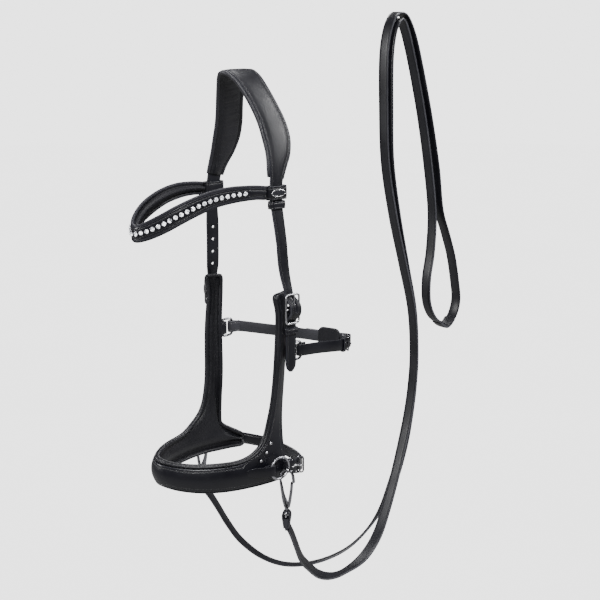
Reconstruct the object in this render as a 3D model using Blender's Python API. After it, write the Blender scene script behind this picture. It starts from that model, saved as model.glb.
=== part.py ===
"""A bitless riding bridle: padded headpiece and browband, a padded noseband with its cheeks,
buckled throat and chin straps, and two reins clipped to the side rings. Lengths are written in
millimetres and scaled to metres.
+X is the horse's left (near) side, -Y its nose, +Z up. The origin is where the crown rests on the poll."""

import bpy
import bmesh
from math import cos, pi, radians, sin, sqrt
from mathutils import Vector

MM = 0.001
GAP = 0.3            # between touching solids
LEAN = 0.065         # the crown hangs a little low on the far side
HEAD_T = 3.2         # headpiece leather
CROWN_PAD_T = 5.0
BAND_T = 2.4         # browband leather
NOSE_T = 2.6         # noseband leather
NOSE_PAD_T = 8.0
REIN_W = 16.0
REIN_T = 3.4
RING_R, RING_WIRE = 12.7, 1.25
HOOK_WIRE = 1.35
BUCKLE_Z = -249.0     # centre bar of the near cheek buckle
FAR_DROP = 6.0        # the far cheek buckle hangs this much lower

# Headpiece centre line from the poll down the near side: x, y, z, width
HEAD = [(0, 0, 6.8, 41), (5.5, 0.8, 5.8, 39.6), (11, 2.2, 2.4, 37.6), (16.5, 4.2, -3, 35.8),
        (22.5, 6.8, -11.7, 34.4), (29, 10.3, -23.6, 33.8), (35.2, 14, -37, 34.2), (41, 17, -51, 35.6),
        (46.5, 18, -65.5, 36), (51, 16.4, -79, 32.4), (54.4, 12.8, -91.5, 26.3),
        (56.4, 9.7, -102.5, 22.2), (57.4, 7.9, -112, 19.8), (58, 6.9, -119, 18), (58.8, 6.4, -130, 16.2),
        (60.4, 6.3, -141, 15), (62.6, 8, -160, 14.2), (65, 9.8, -182, 13.8), (68, 11.6, -206, 13.8),
        (70.6, 12.9, -220, 13.4), (72.4, 13.5, -228, 13), (73.5, 13.9, -234.8, 13),
        (77.6, 14.4, -239.6, 13), (82.3, 14.6, -244.6, 13), (82.3, 14.8, -253.2, 13),
        (77.8, 15, -258.2, 13.4), (73.6, 15, -263, 13.8), (73.5, 15, -276, 13.8), (73.4, 15, -300, 13.8),
        (73.3, 15, -313, 13.8), (73.2, 15, -318.5, 10.5), (73.1, 15, -322, 4)]
PAD_STATIONS = 13    # of HEAD lie over the crown pad

# Browband leather's outer face, near loop to the front: x, y, z, height over the rolled edges
BROW = [(60.8, -8.2, -124, 15.5), (59, -20, -122.6, 16), (57, -35, -122.3, 17.2), (53, -50, -123, 18.6),
        (48, -68, -125.8, 19.6), (43, -86, -131.4, 20.6), (36.5, -104, -139, 21),
        (27, -120, -147.6, 20.6), (14.5, -132.4, -154.6, 19.6), (0, -138, -157.8, 19)]

# Noseband columns on the outer face, near rear end to the front: x, y, bottom z, top z
NOSE = [(66.4, 13, -453, -421), (68, 5, -453, -421), (69, -8, -452.6, -421), (68.2, -24, -452.4, -421),
        (64.5, -46, -452.4, -420.8), (57.8, -67, -452.4, -420.8), (48, -86, -451.8, -420.6),
        (37, -100, -450.6, -420.4), (25, -111.5, -449, -419.4), (13, -119, -447, -418.4),
        (0, -122.4, -446.2, -417.8)]
NOSE_FAR_END = [(-63.4, 28, -452, -429), (-58, 42, -452, -436.5)]
# Cheek rows above the noseband: z, outer face x at mid width, front edge y, rear edge y,
# twist of the front edge outward
CHEEK = [(-414.5, 66.2, -30, 11.6, 0.4), (-405, 65, -18.4, 11.3, 0.9), (-394, 64.4, -12.2, 12, 1.6),
         (-380, 64.2, -8.4, 13, 2.6), (-360, 64.8, -4.2, 14.6, 3.4), (-335, 66.4, -2.3, 16, 3.6),
         (-305, 68.3, -1, 16.6, 3.4), (-280, 68.9, 0.3, 17.4, 3.1), (-256, 68.7, 1.9, 18.6, 3),
         (-243, 68.2, 0.6, 19.4, 3), (-234, 67.6, -1.2, 19.8, 3.2)]

# Throat strap centre line seen from above, near D-ring round the back to the far one: x, y, z
THROAT = [(67.6, 36, -302), (68.6, 60, -303.4), (68, 82, -306), (65, 98, -308.6), (57, 110, -310.6),
          (48.6, 120, -311.6), (40, 124, -312), (22, 116.5, -311.6), (-4, 103, -310.6), (-30, 85.4, -309),
          (-50, 67, -306.6), (-64, 49, -303.6), (-70.4, 36, -302)]
# Chin strap centre line from its loose tail by the near ring, through the buckle and round the
# back to the far side
CHIN = [(69.6, 8, -436), (69.6, 12, -436.4), (70, 16, -437), (69.8, 20, -438), (69, 24, -439),
        (66.8, 28.6, -440.4), (63.6, 34.4, -442.2), (59.2, 40.6, -444.4), (51.6, 48.8, -447.4),
        (38.6, 57.8, -450), (20, 65, -451.6), (0, 68, -452.2), (-20, 67, -451.8), (-38, 61.4, -450.4),
        (-50, 53, -448.8), (-58.4, 44, -446.8)]

# Near rein centre line from its hook over the top and down to the join: x, y, z
NEAR_REIN = [(76.9, 8, -507.4), (76.9, 14, -520), (75.4, 21, -536), (71, 31.6, -556), (66, 46, -573),
             (58, 72, -597), (49, 105, -613), (41, 140, -618), (34, 172, -613), (27, 200, -596),
             (20, 222, -568), (14, 243, -530), (10, 259, -492), (7, 272, -455), (5, 281, -415),
             (3, 285.5, -370), (1, 281.5, -310), (0, 263.6, -245), (0, 244, -180), (0, 228.6, -110),
             (0, 224, -40), (0, 223, 15), (0, 227.4, 46), (0, 236, 64), (0, 246.4, 69.4), (0, 258, 63),
             (0, 271, 40), (0, 285, 0), (0, 303, -60), (0, 319, -125), (0, 328.4, -180), (0, 342.6, -215),
             (0, 355, -247), (0, 364, -284), (0, 367.6, -309), (0, 361.6, -329), (0, 350.6, -339)]
FAR_REIN = [(-76.8, -1.6, -507.4), (-76.4, 7, -520), (-75, 17.6, -539), (-72.6, 30, -563),
            (-68.4, 47.4, -591), (-60.4, 73, -618), (-50, 100, -634.6), (-39, 130, -641),
            (-27, 160, -638), (-15, 188, -626), (-5, 212, -604), (2, 232.6, -574), (6.6, 250.6, -533),
            (6.4, 265.6, -493), (3, 277.8, -456), (0.6, 286.2, -415), (-1.4, 290, -370),
            (-3, 286.2, -310), (-2, 268.6, -245), (1, 248.8, -180), (3, 233, -110), (4, 228.5, -40),
            (4, 227.6, 14), (4, 231.6, 44), (4, 238.4, 58.4), (2, 246, 61.8), (0, 254, 56),
            (-3, 265.6, 37), (-4, 279.6, -1.6), (-4, 296.3, -61), (-4, 310.6, -126), (-3.6, 319.5, -185),
            (-2.4, 317, -235), (-1, 309.5, -272), (0, 310, -303), (0, 321, -325), (0, 337.6, -337.4)]


def clear_scene():
    for item in list(bpy.data.objects):
        bpy.data.objects.remove(item, do_unlink=True)


def material(name, colour, roughness, metallic=0.0):
    made = bpy.data.materials.new(name)
    made.use_nodes = True
    shader = made.node_tree.nodes["Principled BSDF"]
    shader.inputs["Base Color"].default_value = (*colour, 1)
    shader.inputs["Roughness"].default_value = roughness
    shader.inputs["Metallic"].default_value = metallic
    return made


def make(name, points, faces, look, origin=(0, 0, 0)):
    """One closed mesh object with its faces turned outward and its origin where asked."""
    origin = Vector(origin)
    mesh = bpy.data.meshes.new(name)
    mesh.from_pydata([(Vector(p) - origin) * MM for p in points], [], faces)
    work = bmesh.new()
    work.from_mesh(mesh)
    bmesh.ops.recalc_face_normals(work, faces=work.faces)
    work.to_mesh(mesh)
    work.free()
    mesh.shade_smooth()
    mesh.set_sharp_from_angle(angle=radians(35))
    mesh.materials.append(material(name, *look))
    item = bpy.data.objects.new(name, mesh)
    item.location = origin * MM
    bpy.context.scene.collection.objects.link(item)
    return item


def spline(points, count, closed=False):
    """Even stations on a smooth curve through hand-set points. Columns after the third ride along."""
    size = len(points)

    def at(i):
        return points[i % size] if closed else points[max(0, min(size - 1, i))]

    dense = []
    for i in range(size if closed else size - 1):
        for k in range(10):
            t = k / 10
            dense.append([0.5 * (2 * b + (c - a) * t + (2 * a - 5 * b + 4 * c - d) * t * t
                                 + (3 * b - a - 3 * c + d) * t ** 3)
                          for a, b, c, d in zip(at(i - 1), at(i), at(i + 1), at(i + 2))])
    dense.append(list(at(0) if closed else at(size - 1)))
    run = [0.0]
    for a, b in zip(dense, dense[1:]):
        run.append(run[-1] + (Vector(b[:3]) - Vector(a[:3])).length)
    found, j = [], 0
    for k in range(count):
        want = run[-1] * k / (count if closed else count - 1)
        while j < len(run) - 2 and run[j + 1] < want:
            j += 1
        t = (want - run[j]) / max(run[j + 1] - run[j], 1e-9)
        found.append([a + (b - a) * t for a, b in zip(dense[j], dense[j + 1])])
    return found


def tangents(path, closed=False):
    size = len(path)
    found = []
    for i in range(size):
        a = path[(i - 1) % size] if closed or i else path[0]
        b = path[(i + 1) % size] if closed or i < size - 1 else path[-1]
        found.append((Vector(b[:3]) - Vector(a[:3])).normalized())
    return found


def rounded(width, thick, cut=None):
    """Strap section: a rectangle with its corners taken off, across u and through v."""
    c = min(thick, width) * 0.28 if cut is None else cut
    w, t = width / 2, thick / 2
    return [(-w + c, -t), (w - c, -t), (w, -t + c), (w, t - c), (w - c, t), (-w + c, t), (-w, t - c),
            (-w, -t + c)]


def disc(radius, sides=8):
    return [(radius * cos(2 * pi * k / sides), radius * sin(2 * pi * k / sides)) for k in range(sides)]


def sweep(name, path, across, section, look, closed=False, square=False, origin=(0, 0, 0), out=0.0):
    """Carries a section along a path. across is the strap's width direction, and out moves it outward."""
    rings = []
    for i, (place, along) in enumerate(zip(path, tangents(path, closed))):
        side = Vector(across(i) if callable(across) else across).normalized()
        if square:
            side = (side - along * side.dot(along)).normalized()
        normal = side.cross(along).normalized()
        here = Vector(place[:3]) + normal * out
        rings.append([here + side * u + normal * v for u, v in (section(i) if callable(section)
                                                                else section)])
    sides = len(rings[0])
    points = [p for ring in rings for p in ring]
    faces = []
    for i in range(len(rings) if closed else len(rings) - 1):
        a, b = i * sides, (i + 1) % len(rings) * sides
        faces += [(a + k, a + (k + 1) % sides, b + (k + 1) % sides, b + k) for k in range(sides)]
    if not closed:
        faces += [tuple(range(sides))[::-1], tuple(range(len(points) - sides, len(points)))]
    return make(name, points, faces, look, origin)


def between(name, outer, inner, cells, look, origin=(0, 0, 0)):
    """A closed body between two grids of points, over the named cells only."""
    index, points, faces, edges = {}, [], [], {}
    for layer, grid in enumerate((outer, inner)):
        for i, j in sorted({(i + a, j + b) for i, j in cells for a in (0, 1) for b in (0, 1)}):
            index[layer, i, j] = len(points)
            points.append(grid[i][j])
    for i, j in sorted(cells):
        loop = [(i, j), (i + 1, j), (i + 1, j + 1), (i, j + 1)]
        faces.append([index[0, a, b] for a, b in loop])
        faces.append([index[1, a, b] for a, b in loop[::-1]])
        for one, two in zip(loop, loop[1:] + loop[:1]):
            edges[frozenset((one, two))] = edges.get(frozenset((one, two)), []) + [(one, two)]
    for found in edges.values():
        if len(found) == 1:
            one, two = found[0]
            faces.append([index[0, *two], index[0, *one], index[1, *one], index[1, *two]])
    return make(name, points, faces, look, origin)


def box_frame(name, centre, u, v, us, vs, open_cells, thick, look, origin=None):
    """A flat frame on a grid of lines across u and v, with windows left open."""
    centre, u, v = Vector(centre), Vector(u).normalized(), Vector(v).normalized()
    w = u.cross(v)
    outer = [[centre + u * a + v * b + w * thick / 2 for b in vs] for a in us]
    inner = [[centre + u * a + v * b - w * thick / 2 for b in vs] for a in us]
    cells = [(i, j) for i in range(len(us) - 1) for j in range(len(vs) - 1) if (i, j) not in open_cells]
    item = between(name, outer, inner, cells, look, centre if origin is None else origin)
    soften(item, 0.45)
    return item


def soften(item, width, segments=1):
    bevel = item.modifiers.new("edge", "BEVEL")
    bevel.width = width * MM
    bevel.segments = segments
    bevel.limit_method = "ANGLE"
    bevel.angle_limit = radians(50)


def sleeve(name, centre, half_in, wall, height, look, up=(0, 0, 1), facing=(0, 1, 0), origin=None):
    """A flat loop round a strap: half_in is the clear half width along facing and half depth across it."""
    centre, up, facing = Vector(centre), Vector(up).normalized(), Vector(facing).normalized()
    depth = facing.cross(up)
    a, b = half_in[0] + wall / 2, half_in[1] + wall / 2
    r = min(wall, b) * 0.6
    corners = [(a, -b + r), (a, b - r), (a - r, b), (-a + r, b), (-a, b - r), (-a, -b + r), (-a + r, -b),
               (a - r, -b)]
    path = [centre + facing * p + depth * q for p, q in corners]
    return sweep(name, path, up, rounded(height, wall, 0.3), look, closed=True,
                 origin=centre if origin is None else origin)


def slot(item, centre, along, across, size):
    """A slot through a strap where the buckle's tongue comes through."""
    centre, along, across = Vector(centre), Vector(along).normalized(), Vector(across).normalized()
    deep = along.cross(across)
    corners = [centre + along * (a * size[0] / 2) + across * (b * size[1] / 2) + deep * (c * size[2] / 2)
               for a in (-1, 1) for b in (-1, 1) for c in (-1, 1)]
    faces = [(0, 1, 3, 2), (4, 6, 7, 5), (0, 4, 5, 1), (2, 3, 7, 6), (0, 2, 6, 4), (1, 5, 7, 3)]
    cutter = make(item.name + "_slot_cutter", corners, faces, BLACK)
    cutter.hide_render = True
    cutter.display_type = "WIRE"
    cut = item.modifiers.new("slot", "BOOLEAN")
    cut.operation = "DIFFERENCE"
    cut.solver = "EXACT"
    cut.object = cutter


def mirrored(points):
    """Hand-set near-side rows, then their far-side twins, front row once."""
    return points + [(-p[0], *p[1:]) for p in points[-2::-1]]


def leaning(points):
    """The crown and browband dip on the far side, and the straps below take it up."""
    return [(p[0], p[1], p[2] + LEAN * p[0] * max(0.0, min(1.0, (p[2] + 220) / 80)), *p[3:])
            for p in points]


BLACK = ((0.012, 0.012, 0.015), 0.38)
SOFT = ((0.014, 0.014, 0.018), 0.55)
STEEL = ((0.62, 0.62, 0.64), 0.16, 1.0)
STONE = ((0.85, 0.87, 0.9), 0.12)


# ---------------------------------------------------------------- headpiece and browband
def headpiece():
    near = HEAD[:0:-1]
    far = [(-x, y, z - FAR_DROP * max(0.0, min(1.0, (-z - 195) / 30)), w) for x, y, z, w in HEAD[1:]]
    line = leaning(near + [HEAD[0]] + far)
    item = sweep("headpiece", line, (0, 1, 0), lambda i: rounded(line[i][3], HEAD_T, 0.8), BLACK)
    for side in (1, -1):
        z = BUCKLE_Z + 5.3 - (FAR_DROP if side < 0 else 0)
        slot(item, (side * 80, 14.8, z), (0, 0, 1), (0, 1, 0), (17, 3.2, 16))
    return item


def crown_pad():
    half = HEAD[:PAD_STATIONS]
    line = leaning(half[:0:-1] + [half[0]] + [(-p[0], *p[1:]) for p in half[1:]])
    top = -HEAD_T / 2 - GAP

    def section(i):
        w = line[i][3] / 2 + 1.2
        return [(-w, top - 2.2), (-w + 1, top), (w - 1, top), (w, top - 2.2), (w - 1.4, top - 4),
                (w / 2, top - CROWN_PAD_T), (-w / 2, top - CROWN_PAD_T), (-w + 1.4, top - 4)]

    return sweep("crown_pad", line, (0, 1, 0), section, SOFT)


def browband():
    line = spline(leaning(mirrored(BROW)), 31)
    up = (0, 0, 1)
    band = sweep("browband", line, up, lambda i: rounded(line[i][3] - 5.4, BAND_T, 0.6), BLACK,
                 out=-BAND_T / 2)
    back = -BAND_T - GAP

    def section(i):
        h = line[i][3] / 2
        return [(-h, -3), (-h + 0.7, -0.9), (-h + 1.7, -0.9), (-h + 2.3, back), (h - 2.3, back),
                (h - 1.7, -0.9),
                (h - 0.7, -0.9), (h, -3), (h - 1, -5.6), (h / 2, -7), (-h / 2, -7), (-h + 1, -5.6)]

    pad = sweep("browband_pad", line, up, section, SOFT)
    row = line[2:-2]
    sweep("crystal_row", row, up, rounded(5.4, 2.2, 0.7), STONE, out=GAP + 1.1)
    return band, pad


def browband_loops():
    for word, side in (("near", 1), ("far", -1)):
        z = -124.5 + LEAN * side * 57
        sleeve("browband_loop_" + word, (side * 58.2, 6.9, z), (11.1, 3.4), 2.0, 15, BLACK)
        z = -137.7 + LEAN * side * 57
        sleeve("strap_collar_" + word, (side * 60, 6.4, z), (9.2, 3.0), 1.8, 8.5, BLACK)
    centre = Vector((63.6 + GAP, 6.6, -124.5 + LEAN * 57))
    ring = [(8.4 * cos(2 * pi * k / 20), 3.9 * sin(2 * pi * k / 20)) for k in range(20)]
    outer = [centre + Vector((1.4, 0.86 * p, 0.82 * q)) for p, q in ring]
    base = [centre + Vector((0, p, q)) for p, q in ring]
    faces = [tuple(range(20)), tuple(range(20, 40))]
    faces += [(k, (k + 1) % 20, 20 + (k + 1) % 20, 20 + k) for k in range(20)]
    make("badge", base + outer, faces, STEEL)


# ---------------------------------------------------------------- noseband and cheeks
def nose_columns():
    """Stations round the noseband: near half, front, far half, then the far side's longer end."""
    line = [tuple(p) for p in NOSE] + [(-p[0], *p[1:]) for p in NOSE[-2::-1]] + NOSE_FAR_END
    along = tangents([(p[0], p[1], 0) for p in line])
    normals = [Vector((t.y, -t.x, 0)).normalized() * -1 for t in along]
    return line, [n if n.dot(Vector((p[0], p[1] + 40, 0))) > 0 else -n for n, p in zip(normals, line)]


def nose_grid(shift, grow, dish, ease=0.0):
    """Columns of points over the noseband and both cheeks. shift moves the face inward and grow
    widens the outline."""
    line, normals = nose_columns()
    turn = 2 * len(NOSE) - 2
    columns = []
    for i, ((x, y, bottom, top), normal) in enumerate(zip(line, normals)):
        k, side = min(i, turn - i), 1 if i < len(NOSE) else -1
        middle, half = (top + bottom) / 2, (top - bottom) / 2 - 2.4
        column = []
        for r in range(5):
            reach = (r / 2 - 1) * (half + grow)
            rise = (reach / half) ** 2
            off = shift + 3.2 * rise + dish * (1 - (r / 2 - 1) ** 2)
            if 0 <= k < 4 and r == 4:
                off = shift + 1.6 + dish * 0.5
            if r == 4 and k > 2:
                off += ease
            column.append(Vector((x, y, middle + reach)) - normal * off)
        if 0 <= k <= 4:
            share = (NOSE[k][1] - NOSE[0][1]) / (NOSE[4][1] - NOSE[0][1])
            for z, face, front, rear, twist in CHEEK:
                rear, front = rear - 2.2, front + 2.4
                here = rear + (front - rear) * share + grow * (1 - 2 * share)
                level = 2 * (rear - here) / (rear - front) - 1
                mix = max(0.0, min(1.0, (z + 421) / 34))
                depth = shift + 0.9 * level ** 2 + dish * 0.45 * (1 - (2 * share - 1) ** 4)
                depth = depth * mix + (shift + 1.6 + dish * 0.5) * (1 - mix)
                out = x_on_band(here) * (1 - mix) + face * mix + twist * level - depth
                column.append(Vector((side * out, here, z)))
        columns.append(column)
    return columns


def x_on_band(y):
    """Outer face of the noseband's near side at a station along the horse."""
    for (x0, y0, *_), (x1, y1, *_) in zip(NOSE, NOSE[1:]):
        if y1 <= y <= y0:
            return x0 + (x1 - x0) * (y - y0) / (y1 - y0)
    return NOSE[0][0]


def noseband():
    turn = 2 * len(NOSE) - 2
    cells = [(i, r) for i in range(turn + len(NOSE_FAR_END)) for r in range(4)]
    cells += [(i, r) for k in range(4) for i in (k, turn - 1 - k) for r in range(4, 4 + len(CHEEK))]
    between("noseband", nose_grid(0, 0, 0), nose_grid(NOSE_T, 0, 0), cells, BLACK)
    start = NOSE_T + 3 * GAP
    between("noseband_pad", nose_grid(start, 1.2, 0, 1.6), nose_grid(start + 3, 0.6, NOSE_PAD_T - 3, 1.6),
            cells, SOFT)


def studs():
    for word, side in (("near", 1), ("far", -1)):
        for n, (x, y, z) in enumerate([(66.4, -9, -404), (66.9, -15.5, -413.5), (67.2, -23.5, -421.5)]):
            ring = [Vector((side * (x + GAP + 0.2), y + 2 * cos(k * pi / 4), z + 2 * sin(k * pi / 4)))
                    for k in range(8)]
            cap = [p + Vector((side * 1.3, (y - p.y) * 0.45, (z - p.z) * 0.45)) for p in ring]
            faces = [tuple(range(8)), tuple(range(8, 16))]
            faces += [(k, (k + 1) % 8, 8 + (k + 1) % 8, 8 + k) for k in range(8)]
            make(f"stud_{word}_{n + 1}", ring + cap, faces, STEEL)


# ---------------------------------------------------------------- cheek buckles
def cheek_buckle(word, side):
    y, z = 14.8, BUCKLE_Z if side > 0 else BUCKLE_Z - FAR_DROP
    x = 76.9 * side
    box_frame("cheek_buckle_" + word, (x, y, z), (0, 1, 0), (0, 0, 1), (-10.2, -8, 8, 10.2),
              (-17.5, -15.3, -1.2, 1.2, 15.3, 17.5), {(1, 1), (1, 3)}, 2.4, STEEL)
    # the chape lies on the cheek, folds over the centre bar and comes back under itself
    fold = [(71.2, z - 14), (71.8, z - 9), (73.4, z - 4.5), (74.5, z - 1.6), (74.9, z + 1.2), (75.8, z + 3),
            (76.9, z + 3.5), (78.1, z + 2.9), (78.9, z + 1.2), (79.1, z - 1.2), (78.3, z - 3.4),
            (76.7, z - 6)]
    path = [(side * a, y, b) for a, b in fold]
    item = sweep("cheek_chape_" + word, path, (0, 1, 0), rounded(13, 1.2, 0.3), BLACK)
    slot(item, (side * 78.2, y, z + 0.6), (0, 0, 1), (0, 1, 0), (12, 3.6, 9.4))
    # the tongue's eye turns on the bar, and its point rests on the frame's upper end
    tongue_mesh("cheek_tongue_" + word, (x, y, z), (0, 0, 1), (side, 0, 0), (0, 1, 0), 18.2, 2.45)


def tongue_mesh(name, pivot, ahead, outward, across, reach, rest):
    """A buckle tongue: a closed eye round the bar and a tapering point that rests on the frame."""
    pivot, ahead, outward, across = (Vector(v) for v in (pivot, ahead, outward, across))
    half = 1.15
    inner = [(1.75 * cos(a), 1.75 * sin(a)) for a in [2 * pi * k / 10 for k in range(10)]]
    rim = [(2.95 * cos(a), 2.95 * sin(a)) for a in [2 * pi * k / 10 for k in range(10)]]
    # the two rim points nearest straight ahead are drawn out into the point
    rim[0] = (reach, rest)
    rim[1] = (reach - 0.6, rest + 1.2)
    rim[2] = (3.2, 3.4)
    rim[9] = (3.0, -0.9)
    points, faces = [], []
    for s in (-1, 1):
        for ring in (rim, inner):
            points += [pivot + ahead * a + outward * b + across * half * s for a, b in ring]
    for k in range(10):
        n = (k + 1) % 10
        faces += [(k, n, 10 + n, 10 + k), (20 + k, 30 + k, 30 + n, 20 + n), (k, 20 + k, 20 + n, n),
                  (10 + k, 10 + n, 30 + n, 30 + k)]
    return make(name, points, faces, STEEL, pivot)


def cheek_keeper(word, side):
    z = -274.5 - (FAR_DROP if side < 0 else 0)
    sleeve("cheek_keeper_" + word, (side * 73.75, 15, z), (7.6, 1.95), 1.5, 7, BLACK)


# ---------------------------------------------------------------- throat strap
def d_ring(word, side):
    x = 65.4 * side
    plan = [(22.6, -9), (22.6, -4), (22.6, 4), (22.6, 9), (23.8, 10.4), (29.6, 10.4), (33.8, 9.8),
            (35.7, 8),
            (36, 4), (36, -4), (35.7, -8), (33.8, -9.8), (29.6, -10.4), (23.8, -10.4)]
    path = [(x, y, z - 302) for y, z in plan]
    sweep("throat_ring_" + word, path, (1, 0, 0), disc(1.4, 6), STEEL, closed=True, origin=(x, 22.6, -302))
    # the tab folds round the straight side and its two leaves lie under the cheek's rear edge
    bend = [(67.9, 17.8), (67.9, 22.4), (67.2, 24.4), (65.4, 25.3), (63.6, 24.4), (62.9, 22.4),
            (62.9, 17.8)]
    bend = [(side * a, b, -302) for a, b in bend]
    sweep("throat_tab_" + word, bend, (0, 0, 1), rounded(15, 1.5, 0.35), BLACK)


def offset_plan(line, out):
    """Moves a level line sideways, outward from the middle of the head."""
    found = []
    for place, along in zip(line, tangents(line)):
        normal = Vector((0, 0, 1)).cross(along).normalized()
        if normal.dot(Vector((place[0], place[1] - 30, 0))) < 0:
            normal = -normal
        found.append(Vector(place[:3]) + normal * out)
    return found


def ring_end(line, centre, inward, radius=3.5):
    """Starts a strap with a turn round a ring's upright side and a short leaf laid back along it."""
    centre, inward = Vector(centre), Vector(inward)
    along = Vector((0, 1, 0))
    leaf = [centre + inward * (radius - 0.7) + along * 9, centre + inward * radius + along * 4.5]
    turn = [centre + inward * radius * cos(a) - along * radius * sin(a)
            for a in [radians(d) for d in range(0, 181, 36)]]
    return leaf + turn + list(line)


class Buckle:
    """Where a buckle's heel bar stands: ahead points to the frame's far end, outward away from the head."""

    def __init__(self, heel, ahead, length, rise):
        self.heel, self.ahead = Vector(heel), Vector(ahead).normalized()
        self.outward = self.ahead.cross(Vector((0, 0, 1))).normalized()
        if self.outward.dot(Vector((heel[0], heel[1] - 30, 0))) < 0:
            self.outward = -self.outward
        self.length = length
        self.lean = (self.ahead * sqrt(length ** 2 - rise ** 2) + self.outward * rise).normalized()

    def at(self, along, out, up=0.0):
        return self.heel + self.ahead * along + self.outward * out + Vector((0, 0, up))

    def parts(self, name, half, tongue):
        """The frame and its tongue, both on the heel bar."""
        end = self.length
        box_frame(name + "_buckle", self.heel, self.lean, (0, 0, 1), (-1.1, 1.1, end - 1.1, end + 1.1),
                  (-half - 2.1, -half, half, half + 2.1), {(1, 1)}, 2.2, STEEL)
        out = self.lean.cross(Vector((0, 0, 1))).normalized()
        if out.dot(self.outward) < 0:
            out = -out
        tongue_mesh(name + "_tongue", self.heel, self.lean, out, (0, 0, 1), end + tongue, 2.45)

    def fold(self):
        """The strap's end over the bar's outer side and back on its inner side."""
        return [self.at(-5.6, 0.4), self.at(-3.2, 1.9), self.at(-0.9, 2.6), self.at(1.2, 2.35),
                self.at(2.5, 0.9),
                self.at(2.5, -0.9), self.at(1.2, -2.4), self.at(-1, -3.1), self.at(-4.5, -3.8),
                self.at(-8.5, -4.3)]

    def over(self, tail=2.3):
        """The other strap's way from inside the frame's far end, over the heel bar and down again."""
        return [self.at(self.length + 2, 1.9), self.at(self.length - 3, 2.6), self.at(7.5, 4.1),
                self.at(3, 5.1),
                self.at(-1, 5.2), self.at(-5, 4.5), self.at(-9.5, tail)]


THROAT_BUCKLE = Buckle((47.6, 121.2, -311.5), (0.64, -0.768, 0.05), 15, 5.4)
CHIN_BUCKLE = Buckle((64.2, 20, -438.6), (-0.2, 0.98, -0.16), 14.5, 5.2)


def throat_strap():
    tall = rounded(13.5, 2, 0.45)
    line = spline(THROAT, 101)
    # the near billet goes round its D-ring, through the buckle and on along the far strap's outer face
    start = offset_plan(line[0:30], 1.3)[2::4]
    tail = offset_plan(line[42:64], 1.5)[4::3]
    billet = ring_end(start, (65.4, 36, -302), (-1, 0, 0)) + THROAT_BUCKLE.over() + tail
    item = sweep("throat_billet", billet, (0, 0, 1), tall, BLACK, square=True)
    slot(item, THROAT_BUCKLE.at(6, 4.2), THROAT_BUCKLE.ahead, (0, 0, 1), (15.6, 3.4, 9))
    far = offset_plan(line[43:99], -1.3)[2::4]
    strap = ring_end(far[::-1], (-65.4, 36, -302), (1, 0, 0)) + THROAT_BUCKLE.fold()
    item = sweep("throat_strap", strap, (0, 0, 1), tall, BLACK, square=True)
    slot(item, THROAT_BUCKLE.at(0.9, 0), THROAT_BUCKLE.ahead, (0, 0, 1), (8.6, 3.4, 10))
    THROAT_BUCKLE.parts("throat", 8, 1.6)
    guard = spline(offset_plan(line[41:54], -7), 8)
    high = [12, 17, 20.4, 21, 21, 20.4, 17, 12]
    sweep("throat_guard", guard, (0, 0, 1), lambda i: rounded(high[i], 2.6, 0.8), SOFT, square=True)
    where = offset_plan(line[24:30], 1.3)
    sleeve("throat_keeper", where[3], (7.2, 1.7), 1.4, 5.5, BLACK, up=where[4] - where[2], facing=(0, 0, 1))


# ---------------------------------------------------------------- chin strap
def chin_strap():
    tall = rounded(14.5, 2, 0.45)
    line = spline(CHIN[9:], 34)
    strap = [Vector((71.4, 4, -436))] + CHIN_BUCKLE.over(4.4)[::-1] + [Vector(CHIN[7]), Vector(CHIN[8])]
    strap += [Vector(p[:3]) for p in line[::2]] + [Vector(CHIN[-1])]
    item = sweep("chin_strap", strap, (0, 0, 1), tall, BLACK, square=True)
    slot(item, CHIN_BUCKLE.at(6, 4.2), CHIN_BUCKLE.ahead, (0, 0, 1), (15.6, 3.4, 9))
    chape = [Vector((64.2, 14.2, -437.8))] + CHIN_BUCKLE.fold()[:-1]
    item = sweep("chin_chape", chape, (0, 0, 1), rounded(14.5, 1.8, 0.4), BLACK, square=True)
    slot(item, CHIN_BUCKLE.at(0.9, 0), CHIN_BUCKLE.ahead, (0, 0, 1), (8.6, 3.4, 10))
    CHIN_BUCKLE.parts("chin", 8.6, 1.6)
    where = [Vector(p) for p in CHIN[6:9]]
    sleeve("chin_keeper", where[1], (9.2, 3.2), 1.3, 5.5, BLACK, up=where[2] - where[0], facing=(0, 0, 1))


# ---------------------------------------------------------------- side rings, hooks and reins
def side_ring(word, side):
    x, y, z = 74.2 * side, -2, -433.4
    path = [(x, y + RING_R * cos(2 * pi * k / 22), z + RING_R * sin(2 * pi * k / 22)) for k in range(22)]
    sweep("side_ring_" + word, path, (1, 0, 0), disc(RING_WIRE, 6), STEEL, closed=True, square=True,
          origin=(x, y - RING_R, z))
    bend = [(77, -21), (77, -16), (76.9, -12.8), (76, -10.6), (74.2, -9.6), (72.4, -10.6), (71.5, -12.8),
            (71.4, -16),
            (71.2, -21)]
    bend = [(side * a, b, z) for a, b in bend]
    sweep("ring_fold_" + word, bend, (0, 0, 1), rounded(11.5, 1.7, 0.4), BLACK)


def hook_point(side, t, z, out=0.0):
    """A point in the hook's plane, which stands across its ring. Both hooks are turned the same way."""
    if side > 0:
        return (76.7 + 0.75 * t + 0.66 * out, 5.6 + 0.66 * t - 0.75 * out, z)
    return (-76.9 - 0.75 * t - 0.66 * out, -4.4 - 0.66 * t + 0.75 * out, z)


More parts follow.
